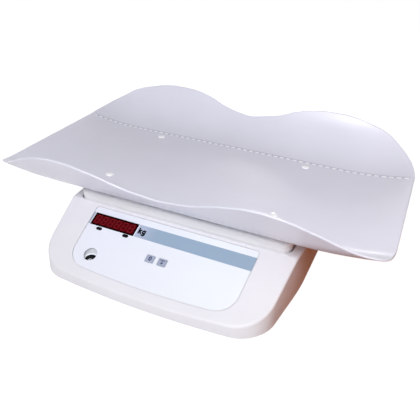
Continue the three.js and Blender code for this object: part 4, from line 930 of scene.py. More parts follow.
def labelPrint(sizes):
    made, tree, shader, spot = newMaterial("labelPrint")
    across, down = panelPlaces(tree, spot)
    (low, high), soft, edge = sizes["band"], sizes["soft"], panelSizes["windowWidth"] / 2
    under, over = ramp(tree, down, low - soft, low + soft), ramp(tree, down, high + soft, high - soft)
    inBand = calc(tree, "MULTIPLY", under, over)
    clear = ramp(tree, away(tree, across, panelSizes["windowX"]), *(edge + gap for gap in sizes["clear"]))
    band = calc(tree, "MULTIPLY", inBand, clear)
    # painted light: the white field grows lighter towards the right, as the light falls on the panel
    sides = ramp(tree, across, *sizes["fieldLightSpan"])
    pale = mixColour(tree, sides, colourOf(sizes["fieldLeft"]), colourOf(sizes["fieldRight"]))
    fade = ramp(tree, across, *sizes["fade"], smooth=True)
    blue = mixColour(tree, fade, colourOf(sizes["bandLeft"]), colourOf(sizes["bandRight"]))
    stripe = mixColour(tree, ramp(tree, across, *sizes["left"]), blue, colourOf(sizes["stripe"]))
    ground = mixColour(tree, noise(tree, spot, sizes["clouds"]), pale, colourOf(sizes["cloud"]))
    setInputs(shader, {
        "Base Color": mixColour(tree, band, ground, stripe),
        "Roughness": varied(tree, spot, sizes["patches"], *sizes["rough"]),
        "Coat Weight": sizes["coat"],
        "Coat Roughness": sizes["coat"],
    })
    bump(tree, shader, noise(tree, spot, sizes["grain"]), sizes["grainStrength"], sizes["grainDepth"])
    return made


label = onPanel(plate("panelLabel", overlayOutline(0), -panelSizes["thickness"], -panelSizes["sunk"]))
cutFrom(label, *panelHoles(-4, 2))
finishPiece(label, labelPrint(printSizes), "base", ["panel_overlay"], 30)

# display window: a red filter with painted shade along its rim, and unlit digits in it
windowSizes = {
    "low": -4.05, "top": -0.1, "bevel": 0.25, "flangeMore": 6.0, "flangeLow": -4.8, "flangeTop": -3.3,
    "rim": (1.3, 3.2), "rimShadeColour": "#100104", "colour": "#50080E",
    "patches": 80.0, "rough": (0.2, 0.26), "shine": 0.02,
}


def redWindow(sizes):
    made, tree, shader, spot = newMaterial("redWindow")
    across, down = panelPlaces(tree, spot)
    fromX = calc(tree, "SUBTRACT", panelSizes["windowWidth"] / 2, away(tree, across, panelSizes["windowX"]))
    fromV = calc(tree, "SUBTRACT", panelSizes["windowHeight"] / 2, away(tree, down, panelSizes["windowV"]))
    # painted shade: the filter darkens towards its rim
    rim = ramp(tree, calc(tree, "MINIMUM", fromX, fromV), *sizes["rim"], smooth=True)
    setInputs(shader, {
        "Base Color": mixColour(tree, rim, colourOf(sizes["rimShadeColour"]), colourOf(sizes["colour"])),
        "Roughness": varied(tree, spot, sizes["patches"], *sizes["rough"]),
        "Specular IOR Level": sizes["shine"],
    })
    return made


def displayWindow(sizes):
    x, v, wide, tall = (panelSizes[k] for k in ("windowX", "windowV", "windowWidth", "windowHeight"))
    more = sizes["flangeMore"]
    window = panelBlock("displayWindow", x, v, wide, tall, sizes["low"], sizes["top"])
    bevelEdges(window, sizes["bevel"], 2)
    flange = panelBlock("flange", x, v, wide + more, tall + more, sizes["flangeLow"], sizes["flangeTop"])
    return joinTo(window, flange)


finishPiece(displayWindow(windowSizes), redWindow(windowSizes), "base", ["display_window"], 30)

digitSizes = {
    "count": 6, "pitch": 10.5, "height": 11.5, "width": 6.2, "stroke": 1.1, "slant": 0.14, "gap": 0.15,
    "low": -0.2, "top": -0.06,
}


def digitRows(sizes):
    strokes = []
    half, tall, wide, slant = sizes["stroke"] / 2, sizes["height"] / 2, sizes["width"] / 2, sizes["slant"]
    first = panelSizes["windowX"] - sizes["pitch"] * (sizes["count"] - 1) / 2
    bars = [((0, y), True) for y in (tall, 0, -tall)]  # lying bars, then standing ones
    bars += [((x, y), False) for y in (tall / 2, -tall / 2) for x in (-wide, wide)]
    for digit in range(sizes["count"]):
        x0 = first + sizes["pitch"] * digit
        for (bx, by), level in bars:
            reach = (wide if level else tall / 2) - half - sizes["gap"]
            shape = [(-reach, -half), (reach, -half), (reach + half, 0)]
            shape += [(-x, -y) for x, y in shape]
            if not level:
                shape = [(-b, a) for a, b in shape]
            strokes.append([(x0 + bx + a + slant * (by + b), by + b - panelSizes["windowV"]) for a, b in shape])
    return oneMesh("displayDigits", [onPanel(plate("bar", shape, sizes["low"], sizes["top"])) for shape in strokes])


unlitRed = flatInk("unlitRed", "#78141C", 0.5, 0.02)
finishPiece(digitRows(digitSizes), unlitRed, "base")

# marks on the label: the unit beside the window and two plain lozenges below it
markSizes = {
    "low": -0.03, "top": 0.04, "unitX": -38.2, "unitV": 24.6, "strokeEnd": 0.8,
    "lozenges": ((-98.4, 37.8), (-57.5, 37.1)), "lozengeWidth": 9.6, "lozengeHeight": 4.6, "lean": 0.35,
}
unitStrokes = {
    "width": 2.2,
    "k": [[(-4.6, 4.2), (-4.6, -3.0)], [(-4.3, -0.6), (-1.5, 2.1)], [(-3.5, 0.2), (-1.2, -3.0)]],
    "g": [[(4.4, 2.0), (4.4, -3.9), (3.4, -4.9), (1.0, -4.7)],
          [(4.2, 1.4), (2.4, 2.0), (1.1, 0.8), (1.1, -1.2), (2.4, -2.3), (4.2, -1.8)]],
}


def markPlate(name, shape, x, v, low, top):
    return onPanel(plate(name, [(x + p[0], p[1] - v) for p in shape], low, top))


def unitMark(sizes, strokes):
    plates = []
    for line in strokes["k"] + strokes["g"]:
        for first, second in zip(line, line[1:]):
            run = Vector(second) - Vector(first)
            along = run.normalized() * strokes["width"] / 2
            across = Vector((-along.y, along.x))
            ends = [Vector(first) - along * sizes["strokeEnd"], Vector(second) + along * sizes["strokeEnd"]]
            shape = [ends[0] + across, ends[0] - across, ends[1] - across, ends[1] + across]
            plates.append(markPlate("stroke", shape, sizes["unitX"], sizes["unitV"], sizes["low"], sizes["top"]))
    return oneMesh("unitMark", plates)


def lozenge(x, v, sizes):
    wide, tall = sizes["lozengeWidth"] / 2, sizes["lozengeHeight"] / 2
    slope = sizes["lean"] * sizes["lozengeHeight"]
    shape = [(-wide, 0), (-wide + slope, -tall), (wide - slope, -tall)]
    shape += [(-x, -y) for x, y in shape]
    return markPlate("lozenge", shape, x, v, sizes["low"], sizes["top"])


finishPiece(unitMark(markSizes, unitStrokes), blackInk, "base")
lozenges = oneMesh("statusLozenges", [lozenge(x, v, markSizes) for x, v in markSizes["lozenges"]])
finishPiece(lozenges, blackInk, "base")

# keys, each with a flange under the panel, a stem and its own mark
keySizes = {
    "low": -3.8, "top": 0.4, "corner": 1.0, "bevel": 0.45, "flangeMore": 3, "flangeLow": -4.3, "flangeTop": -3.3,
    "stem": 2.0, "stemLow": -6.4, "stemTop": -3.5, "figure": "0", "figureSize": 8.0, "figureBold": 0.3,
    "figureLift": 0.42, "figureThick": 0.06, "markLow": 0.38, "markTop": 0.45,
}
tareStrokes = [
    [(-3.2, 2.2), (3.2, 2.2), (3.2, 3.0), (-3.2, 3.0)],
    [(-0.45, 2.0), (-0.45, -0.6), (0.45, -0.6), (0.45, 2.0)],
    [(-2.0, -0.6), (0.0, -3.0), (2.0, -0.6)],
]
zeroX, tareX = panelSizes["keyXs"]
keyV = panelSizes["keyV"]


def keyCap(name, x, node, sizes):
    wide, tall, more = panelSizes["keyWidth"], panelSizes["keyHeight"], sizes["flangeMore"]
    cap = panelBlock(name, x, keyV, wide, tall, sizes["low"], sizes["top"], sizes["corner"])
    bevelEdges(cap, sizes["bevel"], 3)
    flange = panelBlock("flange", x, keyV, wide + more, tall + more, sizes["flangeLow"], sizes["flangeTop"])
    stem = onPanel(rod("stem", sizes["stem"], sizes["stemLow"], sizes["stemTop"], x, -keyV, 32))
    joinTo(cap, flange, stem)
    return finishPiece(cap, keyPlastic, node, [node], 30)


def zeroMark(sizes):
    curve = bpy.data.curves.new("zeroKeyMark", "FONT")
    curve.body = sizes["figure"]
    curve.size = sizes["figureSize"] * mm
    curve.align_x = "CENTER"
    curve.align_y = "CENTER"
    curve.offset = sizes["figureBold"] * mm
    curve.extrude = sizes["figureThick"] / 2 * mm
    curve.resolution_u = 4
    drawn = newPiece("zeroKeyMarkCurve", curve)
    graph = bpy.context.evaluated_depsgraph_get()
    graph.update()
    mesh = bpy.data.meshes.new_from_object(drawn.evaluated_get(graph))
    drop(drawn)
    mesh.transform(panelFrame @ Matrix.Translation((zeroX * mm, -keyV * mm, sizes["figureLift"] * mm)))
    return newPiece("zeroKeyMark", mesh)


def tareMark(sizes):
    plates = [markPlate("mark", shape, tareX, keyV, sizes["markLow"], sizes["markTop"]) for shape in tareStrokes]
    return oneMesh("tareKeyMark", plates)


keyCap("zeroKeyCap", zeroX, "zero_key", keySizes)
keyCap("tareKeyCap", tareX, "tare_key", keySizes)
finishPiece(zeroMark(keySizes), legendInk, "zero_key")
finishPiece(tareMark(keySizes), legendInk, "tare_key")


# spirit level: a black vial, a lens with the bubble under it, and a pale collar up to the panel, whiter than the
# housing as painted light in the hole, with a painted shadow under the hole's rim
levelSizes = {
    "top": 26.7, "radius": 10.2, "height": 10.0, "lens": 6.4, "depth": 3.0, "crown": 1.2, "opening": 6.1, "lip": 1.0,
    "play": 0.3, "edge": 0.6, "cover": 0.85, "coverGap": 0.8, "lensGap": 0.05,
    "ring": 5.9, "ringHalf": 0.12, "bubbleAt": (0.2, -2.7), "bubbleEdge": (2.2, 2.7),
    "bubble": "#A9A9B2", "liquid": "#050608", "ringColour": "#1A1C20",
    "patches": 40.0, "rough": (0.2, 0.24), "shine": 0.1,
}
levelPlace = (panelSizes["levelX"], panelSizes["levelY"])


def levelVial(sizes):
    top, radius, lip, opening, edge = (sizes[k] for k in ("top", "radius", "lip", "opening", "edge"))
    low, cup, cover = top - sizes["height"], top - sizes["depth"], top + sizes["cover"]
    bore, rim = sizes["lens"] + sizes["play"], radius - sizes["coverGap"]
    profile = [(0, low), (radius - edge, low), (radius, low + edge), (radius, top + lip), (rim, top + lip)]
    profile += [(rim, cover + edge), (opening + edge / 2, cover + edge), (opening, cover + edge / 2)]
    profile += [(opening, cover), (bore, cover), (bore, cup), (0, cup)]
    return turned("levelVial", profile, 64, *levelPlace)


def levelLens(sizes):
    top, radius, crown = sizes["top"], sizes["lens"], sizes["crown"]
    low = top - sizes["depth"] + sizes["lensGap"]
    dome = [(radius * math.cos(t), top + crown * math.sin(t)) for t in (math.pi / 2 * i / 8 for i in range(8))]
    return turned("levelLens", [(0, low), (radius, low)] + dome + [(0, top + crown)], 64, *levelPlace)


def levelGlass(sizes):
    made, tree, shader, spot = newMaterial("levelGlass")
    aside = vectorCalc(tree, "SUBTRACT", spot, place((*levelPlace, 0)))
    flat = vectorCalc(tree, "MULTIPLY", aside, (1.0, 1.0, 0.0))
    fromMiddle = calc(tree, "DIVIDE", vectorCalc(tree, "LENGTH", flat), mm)
    ring = calc(tree, "LESS_THAN", away(tree, fromMiddle, sizes["ring"]), sizes["ringHalf"])
    bubbleX, bubbleY = sizes["bubbleAt"]
    bubbleSpot = vectorCalc(tree, "SUBTRACT", flat, (bubbleX * mm, bubbleY * mm, 0.0))
    bubble = ramp(tree, calc(tree, "DIVIDE", vectorCalc(tree, "LENGTH", bubbleSpot), mm), *sizes["bubbleEdge"])
    liquid = mixColour(tree, bubble, colourOf(sizes["bubble"]), colourOf(sizes["liquid"]))
    setInputs(shader, {
        "Base Color": mixColour(tree, ring, liquid, colourOf(sizes["ringColour"])),
        "Roughness": varied(tree, spot, sizes["patches"], *sizes["rough"]),
        "Specular IOR Level": sizes["shine"],
    })
    return made


collarSizes = {
    "radius": 9.1, "wall": 0.3, "low": 28.25, "floor": 0.5, "eye": 7.4, "below": 0.6,
    "line": (1.6, 2.6), "lipShadowColour": "#A6AAB2",
    "white": "#F6F7FA", "shaded": "#EEF0F4", "clouds": 60.0, "rough": 0.35,
}


def levelCollar(sizes):
    radius, low, over = sizes["radius"], sizes["low"], 2 * housingSizes["rim"]
    tube = rod("levelCollar", radius, low, housingSizes["rim"], *levelPlace, 96)
    cutFrom(tube, rod("hollow", radius - sizes["wall"], low + sizes["floor"], over, *levelPlace, 96))
    cutFrom(tube, rod("eye", sizes["eye"], 0, over, *levelPlace, 96))
    return cutFrom(tube, panelBlock("above", levelPlace[0], levelV, 60, 60, -sizes["below"], 60))


def collarPlastic(sizes):
    made, tree, shader, spot = newMaterial("collarPlastic")
    where = addNode(tree, "ShaderNodeSeparateXYZ", {0: spot}).outputs
    hinge = platformY - housingSizes["wellHalfY"] * mm
    fall = calc(tree, "MULTIPLY", calc(tree, "SUBTRACT", hinge, where["Y"]), math.tan(panelTilt))
    panel = calc(tree, "SUBTRACT", housingSizes["rim"] * mm, fall)
    depth = calc(tree, "DIVIDE", calc(tree, "SUBTRACT", panel, where["Z"]), mm)
    # painted light: the collar is whiter than the housing plastic, to lighten the wall of the hole
    white = mixColour(tree, noise(tree, spot, sizes["clouds"]), colourOf(sizes["white"]), colourOf(sizes["shaded"]))
    # painted shadow: a grey band at the collar's top, just under the rim of the panel's hole
    line = ramp(tree, depth, *sizes["line"], smooth=True)
    setInputs(shader, {
        "Base Color": mixColour(tree, line, colourOf(sizes["lipShadowColour"]), white),
        "Roughness": sizes["rough"],
    })
    return made


vialPlastic = flatInk("vialPlastic", "#060709", 0.6, 0.1)
finishPiece(levelVial(levelSizes), vialPlastic, "base", ["level_vial"], 40)
finishPiece(levelLens(levelSizes), levelGlass(levelSizes), "base", ["level_lens"], 40)
finishPiece(levelCollar(collarSizes), collarPlastic(collarSizes), "base")
print("panel ready")


def spotOf(node):
    low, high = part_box(node)
    return (low.x + high.x) / 2 / mm, ((low.y + high.y) / 2 - platformY) / mm


def thread(radius, low, high, pitch=1.0, depth=0.35):
    turns = int((high - low) / pitch)
    rows = []
    for i in range(turns):
        rows += [(radius - depth, low + pitch * i), (radius, low + pitch * (i + 0.5))]
    return rows + [(radius - depth, low + pitch * turns), (radius - depth, high)]


def prism(name, across, low, high, sides=6, chamfer=0.5):
    radius = across / math.cos(math.pi / sides)
    rings = [at(circle(radius - chamfer, sides), low), at(circle(radius, sides), low + chamfer)]
    rings += [at(circle(radius, sides), high - chamfer), at(circle(radius - chamfer, sides), high)]
    return skin(name, rings)


# steel frame under the cover
frameSizes = {
    "top": 71.0, "bottom": 68.0, "barX": 121.0, "barHalf": 12.0, "barEnd": 86.0, "corner": 8.0, "beamHalf": 28.0,
    "flange": 61.0, "nut": 64.0, "nutAcross": 4.2, "boltHole": 3.4, "boltXs": (57.0, 43.0), "sunk": 1,
    "slotXs": (-74.0, 0.0), "slotHalfX": 23.0, "slotHalfY": 8.0, "slotCorner": 5.3, "sheet": 3, "edge": 0.4,
}


def platformFrame(sizes):
    zs = (sizes["bottom"], sizes["top"])
    half, barX = sizes["beamHalf"], sizes["barX"]
    steel = block("platformFrame", (-barX, barX), (-half, half), zs)
    bars = [plate("bar", roundedRectangle(sizes["barHalf"], sizes["barEnd"], sizes["corner"], 0, 8, x), *zs)
            for x in (-barX, barX)]
    inner = barX - sizes["barHalf"]
    thick = sizes["sheet"]
    flanges = [block("flange", (-inner, inner), (y, y + thick), (sizes["flange"], zs[0] + thick / 2))
               for y in (-half, half - thick)]
    joinTo(steel, *bars, *flanges)
    slotShape = (sizes["slotHalfX"], sizes["slotHalfY"], sizes["slotCorner"])
    slots = [plate("slot", roundedRectangle(*slotShape, 0, 8, x), zs[0] - 2, zs[1] + 2) for x in sizes["slotXs"]]
    cutFrom(steel, *slots, *[rod("hole", sizes["boltHole"], 60, 75, x, 0, 32) for x in sizes["boltXs"]])
    bevelEdges(steel, sizes["edge"], 2)
    for x, y in screwPlaces:
        nut = prism("nut", sizes["nutAcross"], sizes["nut"], zs[0] + sizes["sunk"])
        joinTo(steel, turnAll(nut, Matrix.Translation((x * mm, y * mm, 0))))
    return cutFrom(steel, *screwHoles(60, 75))


finishPiece(platformFrame(frameSizes), zincPlate, "platform", ["platform_frame"], 30)

# load cell, its two packing blocks and its bolts
cellSizes = {
    "halfX": 65.0, "halfY": 15.0, "bottom": 36.9, "top": 58.9, "hole": 8.6, "spread": 15.0, "slot": 6.0,
    "block": 30.0, "pedestal": (10.3, 36.6), "spacer": (59.7, 67.7), "boltHole": 3.4, "chamfer": 0.6,
}


def cellBolts(side, low, high):
    return [rod("hole", cellSizes["boltHole"], low, high, side * x, 0, 32) for x in frameSizes["boltXs"]]


def loadCell(sizes):
    low, high, halfY = sizes["bottom"], sizes["top"], sizes["halfY"]
    middle = (low + high) / 2
    cell = block("loadCell", (-sizes["halfX"], sizes["halfX"]), (-halfY, halfY), (low, high))
    lying, spread, tall = Matrix.Rotation(math.radians(90), 4, "X") @ flatFrame, sizes["spread"], sizes["slot"] / 2
    bores = [turnAll(rod("bore", sizes["hole"], -20, 20, 0, 0, 64), Matrix.Translation(place((x, 0, middle))) @ lying)
             for x in (-spread, spread)]
    slot = block("slot", (-spread, spread), (-20, 20), (middle - tall, middle + tall))
    cutFrom(cell, *bores, slot)
    cutFrom(cell, *cellBolts(1, low - 2, high + 2), *cellBolts(-1, low - 2, high + 2))
    return bevelEdges(cell, sizes["chamfer"], 1, 50)


def packingBlock(name, side, zs):
    inner = side * (cellSizes["halfX"] - cellSizes["block"])
    xs = sorted((inner, side * cellSizes["halfX"]))
    piece = block(name, xs, (-cellSizes["halfY"], cellSizes["halfY"]), zs)
    cutFrom(piece, *cellBolts(side, zs[0] - 2, zs[1] + 2))
    return bevelEdges(piece, cellSizes["chamfer"], 1, 50)


finishPiece(loadCell(cellSizes), milledAluminium, "base", ["load_cell"], 30)
pedestal = packingBlock("cellPedestal", -1, cellSizes["pedestal"])
finishPiece(pedestal, milledAluminium, "base", ["load_cell_pedestal"], 30)
topSpacer = packingBlock("cellSpacer", 1, cellSizes["spacer"])
finishPiece(topSpacer, milledAluminium, "platform", ["load_cell_top_spacer"], 30)

boltSizes = {
    "radius": 3.0, "point": 2.2, "head": 5.0, "headHeight": 3.0, "edge": 0.4, "plain": 3,
    "socket": 2.5, "socketDepth": 1.8, "top": (71.3, 46.9), "base": (7.7, 48.9),
}


def socketBolt(name, seat, tip, sizes):
    up = 1 if tip < seat else -1  # the head stands above or below its seat
    radius, head, crown = sizes["radius"], sizes["head"], seat + up * sizes["headHeight"]
    edge = crown - up * sizes["edge"]
    low, high = sorted((tip, seat - up * sizes["plain"]))
    point, shank = [(0, tip), (sizes["point"], tip)], thread(radius, low, high)
    headRows = [(head, seat), (head, edge), (head - sizes["edge"], crown), (0, crown)]
    if up > 0:
        profile = point + shank + [(radius, high), (radius, seat)] + headRows
    else:
        profile = headRows[::-1] + [(radius, seat), (radius, low)] + shank + point[::-1]
    bolt = turned(name, profile, 40)
    depth = sorted((crown + up, crown - up * sizes["socketDepth"]))
    return cutFrom(bolt, prism("socket", sizes["socket"], *depth, 6, 0.0))


bolt = socketBolt("bolt", *boltSizes["top"], boltSizes)
topBolts = repeat("cellTopBolts", bolt, [(x, 0) for x in frameSizes["boltXs"]], screwSteel)
finishPiece(topBolts, screwSteel, "platform", ["top_bolt_1", "top_bolt_2"], 30)
bolt = socketBolt("bolt", *boltSizes["base"], boltSizes)
baseBolts = repeat("cellBaseBolts", bolt, [(-x, 0) for x in frameSizes["boltXs"]], screwSteel)
finishPiece(baseBolts, screwSteel, "base", ["base_bolt_1", "base_bolt_2"], 30)

stopSizes = {"low": 10.3, "top": 67.2, "nut": 10.0, "cap": 5.0, "across": 4.3, "post": 3.0}


def overloadStop(sizes):
    low, top, radius, across = (sizes[k] for k in ("low", "top", "post", "across"))
    nutTop, capLow = low + sizes["nut"], top - sizes["cap"]
    rows = [(0, low + 1), (radius, low + 1)] + thread(radius, nutTop, capLow) + [(radius, top - 1), (0, top - 1)]
    return joinTo(turned("stop", rows, 40), prism("nut", across, low, nutTop), prism("cap", across, capLow, top))


stops = repeat("overloadStops", overloadStop(stopSizes), [spotOf(n) for n in corners("overload_stop")], screwSteel)
finishPiece(stops, screwSteel, "base", corners("overload_stop"), 30)

# sheet steel base with welded nuts for the feet
plateSizes = {
    "inset": 4.5, "bottom": 8.0, "top": 10.0, "nut": 7.0, "nutTop": 20.0, "stemHole": 4.4, "caseHole": 2.15,
    "standoff": 3.4, "standoffTop": 16.0, "pilot": 1.55, "ribX": 97.0, "ribY": 29.5, "ribTop": 13.0,
    "ribHalf": 1.5, "ribEdge": 0.8, "seam": 0.5, "nutEdge": 0.8,
}
boardScrews = [spotOf("main_board_screw_1"), spotOf("main_board_screw_2")]
footSpots = {c: spotOf("foot_pad_" + c) for c in ("front_left", "front_right", "rear_left", "rear_right")}


def basePlate(sizes):
    low, top = sizes["bottom"], sizes["top"]
    sheet = plate("basePlate", housingOutline(sizes["inset"]), low, top)
    half, ribX, ribY, edge = sizes["ribHalf"], sizes["ribX"], sizes["ribY"], sizes["nutEdge"]
    ribs = [block("rib", (-ribX, ribX), (y - half, y + half), (top - 1, sizes["ribTop"])) for y in (-ribY, ribY)]
    ribs = [bevelEdges(rib, sizes["ribEdge"], 3) for rib in ribs]
    nut, nutTop, post, postTop = (sizes[k] for k in ("nut", "nutTop", "standoff", "standoffTop"))
    nutRows = [(0, top - 1), (nut - edge / 2, top - 1), (nut, top)]
    nutRows += [(nut, nutTop - edge), (nut - edge, nutTop), (0, nutTop)]
    postRows = [(0, top - 1), (post + sizes["seam"], top - 1), (post, top + edge), (post, postTop), (0, postTop)]
    nuts = [turned("nut", nutRows, 48, x, y) for x, y in footSpots.values()]
    posts = [turned("post", postRows, 32, x, y) for x, y in boardScrews]
    joinTo(sheet, *ribs, *nuts, *posts)
    holes = [rod("hole", sizes["stemHole"], low - 2, 30, x, y, 40) for x, y in footSpots.values()]
    holes += [rod("hole", sizes["caseHole"], low - 2, top + 2, x, y, 32) for x, y in caseScrewPlaces]
    holes += [rod("hole", sizes["pilot"], top, 20, x, y, 24) for x, y in boardScrews]
    return cutFrom(sheet, *holes, *cellBolts(-1, low - 2, top + 2))


finishPiece(basePlate(plateSizes), zincPlate, "base", ["base_plate"], 30)

screwSizes = {
    "seat": 7.7, "head": 3.6, "height": 1.8, "shank": 1.75, "length": 12.0,
    "slot": 0.55, "slotReach": 2.1, "slotDepth": 1.1, "edge": 0.5, "end": 0.6, "pitch": 0.9,
}


def crossScrew(name, seat, side, sizes):
    crown, head, edge = seat + side * sizes["height"], sizes["head"], sizes["edge"]
    tip = seat - side * sizes["length"]
    low, high = sorted((tip + side * sizes["end"], seat - side * sizes["end"]))
    shank = thread(sizes["shank"], low, high, sizes["pitch"])
    dome = [(head * math.cos(t), seat + side * (edge + (sizes["height"] - edge) * math.sin(t)))
            for t in (math.pi / 2 * i / 6 for i in range(6))]
    if side > 0:
        profile = [(0, tip)] + shank + [(head, seat)] + dome + [(0, crown)]
    else:
        profile = [(0, crown)] + dome[::-1] + [(head, seat)] + shank + [(0, tip)]
    screw = turned(name, profile, 40)
    reach, half = (-sizes["slotReach"], sizes["slotReach"]), (-sizes["slot"], sizes["slot"])
    depth = sorted((crown + side, crown - side * sizes["slotDepth"]))
    return cutFrom(screw, block("slot", reach, half, depth), block("slot", half, reach, depth))


screw = crossScrew("screw", screwSizes["seat"], -1, screwSizes)
caseScrews = repeat("caseScrews", screw, caseScrewPlaces, screwSteel)
finishPiece(caseScrews, screwSteel, "base", ["case_screw_%d" % i for i in range(1, 7)], 30)

# circuit boards and what stands on them
boardFinish = {
    "colours": ("#0F4A2A", "#0C4125", "#2E7A4E"), "ground": "#0D4527", "trackScale": 110.0, "trackWidth": 0.03,
    "trackLength": 1.4, "trackPitch": 0.5, "areas": 300.0, "areaSpan": (0.45, 0.55),
    "patches": 90.0, "rough": (0.28, 0.36), "coat": 0.3, "coatRough": 0.1,
}


def boardMaterial(finish):
    made, tree, shader, spot = newMaterial("boardGreen")
    first, second, gap = (colourOf(code) for code in finish["colours"])
    tracks = addNode(tree, "ShaderNodeTexBrick", {
        "Vector": spot, "Color1": first, "Color2": second, "Mortar": gap, "Scale": finish["trackScale"],
        "Mortar Size": finish["trackWidth"], "Brick Width": finish["trackLength"], "Row Height": finish["trackPitch"],
    }).outputs["Color"]
    areas = ramp(tree, noise(tree, spot, finish["areas"]), *finish["areaSpan"])
    setInputs(shader, {
        "Base Color": mixColour(tree, areas, colourOf(finish["ground"]), tracks),
        "Roughness": varied(tree, spot, finish["patches"], *finish["rough"]),
        "Coat Weight": finish["coat"],
        "Coat Roughness": finish["coatRough"],
    })
    return made


boardGreen = boardMaterial(boardFinish)
plugNylon = mouldedPlastic("plugNylon", "#E9E4D6", "#E1DBCB", 0.45, 1600.0, 0.02)
chipResin = mouldedPlastic("chipResin", "#202024", "#28282C", 0.5, 2200.0, 0.02)
sleeveBlue = mouldedPlastic("sleeveBlue", "#1A2748", "#202E52", 0.3, 1400.0, 0.01)
smallScrew = dict(screwSizes, seat=18.2, head=2.8, height=1.6, shank=1.25, length=6.4)
smallScrew.update(slot=0.4, slotReach=1.6, slotDepth=0.9)
mainSizes = {
    "xs": (40.0, 122.0), "ys": (-150.0, -94.0), "bottom": 16.3, "top": 17.9, "hole": 1.65, "sunk": 0.1,
    "plug": (9.0, 6.0, 7.0), "plugWall": 1.0, "plugFloor": 2.0, "plugEdge": 0.3,
    "plugXs": (54.0, 104.0), "sidePlugY": -126.5,
    "chip": (81.0, -122.0, 9.0, 3.0), "chipShare": 0.6, "chipLift": 0.5, "chipEdge": 0.3,
    "legs": 14, "legPitch": 1.27, "leg": (0.25, 0.9, 1.2), "legOut": 0.7,
    "capacitor": (110.0, -112.0, 6.0, 14.0), "crimp": (1, 1.6, 2.2), "crimpDepth": 0.4, "capacitorEdge": 0.6,
}


def plugShell(x, y, z, sizes, turn=False):
    wide, deep, tall = sizes["plug"]
    if turn:
        wide, deep = deep, wide
    wall, low = sizes["plugWall"], z + sizes["plugFloor"]
    shell = bevelEdges(block("plug", (x, x + wide), (y, y + deep), (z, z + tall)), sizes["plugEdge"], 2)
    mouth = block("mouth", (x + wall, x + wide - wall), (y + wall, y + deep - wall), (low, z + tall + 1))
    return cutFrom(shell, mouth)


def mainBoard(sizes):
    sheet = block("mainBoard", sizes["xs"], sizes["ys"], (sizes["bottom"], sizes["top"]))
    cutFrom(sheet, *[rod("hole", sizes["hole"], 10, 24, x, y, 32) for x, y in boardScrews])
    finishPiece(sheet, boardGreen, "base", ["main_board"], 30)
    top, back = sizes["top"] - sizes["sunk"], sizes["ys"][1] - sizes["plug"][1]
    plugs = [plugShell(x, back, top, sizes) for x in sizes["plugXs"]]
    plugs.append(plugShell(sizes["xs"][0], sizes["sidePlugY"], top, sizes, turn=True))
    finishPiece(oneMesh("boardPlugs", plugs), plugNylon, "base")
    x, y, half, high = sizes["chip"]
    deep, lift = half * sizes["chipShare"], sizes["chipLift"]
    body = block("chipBody", (x - half, x + half), (y - deep, y + deep), (top + lift, top + high))
    finishPiece(bevelEdges(body, sizes["chipEdge"], 1), chipResin, "base")
    legX, legY, legZ = sizes["leg"]
    leg = block("leg", (-legX, legX), (-legY, legY), (top, top + legZ))
    first = x - sizes["legPitch"] * (sizes["legs"] - 1) / 2
    places = [(first + sizes["legPitch"] * i, y + side * (deep + sizes["legOut"]))
              for i in range(sizes["legs"]) for side in (-1, 1)]
    finishPiece(repeat("chipLegs", leg, places, screwSteel), screwSteel, "base")
    x, y, radius, high = sizes["capacitor"]
    under, waist, over = (top + z for z in sizes["crimp"])
    edge, crown = sizes["capacitorEdge"], top + high
    rows = [(0, top), (radius, top), (radius, under), (radius - sizes["crimpDepth"], waist), (radius, over)]
    rows += [(radius, crown - edge), (radius - edge, crown), (0, crown)]
    finishPiece(turned("capacitor", rows, 48, x, y), sleeveBlue, "base")


mainBoard(mainSizes)
screw = crossScrew("screw", smallScrew["seat"], 1, smallScrew)
mainScrews = repeat("mainBoardScrews", screw, boardScrews, screwSteel)
finishPiece(mainScrews, screwSteel, "base", ["main_board_screw_1", "main_board_screw_2"], 30)

displaySizes = {
    "low": -13.9, "high": -12.3, "left": -114.0, "right": 30.0, "topV": 12.0, "bottomV": 46.0,
    "tabHalf": 24.0, "tabV": 72.0,
    "hole": 1.65, "foot": -12.0, "moduleTop": -5.1, "moduleX": 32.5, "moduleY": 8.5, "moduleEdge": 0.4,
    "plug": ((22, 28), (-44, -35), 3.5), "edge": 0.3, "screwSeat": -14.2, "screwLength": 8.0,
    "switchHalf": 3.0, "switchTop": -8.4, "plunger": 1.7, "plungerTop": -7.2, "plungerEdge": 0.2,
    "pins": 12, "pinPitch": 5.08, "pinHalf": 0.3, "pinOut": 1.2, "pinTop": -11.8, "pinY": 6.5,
}


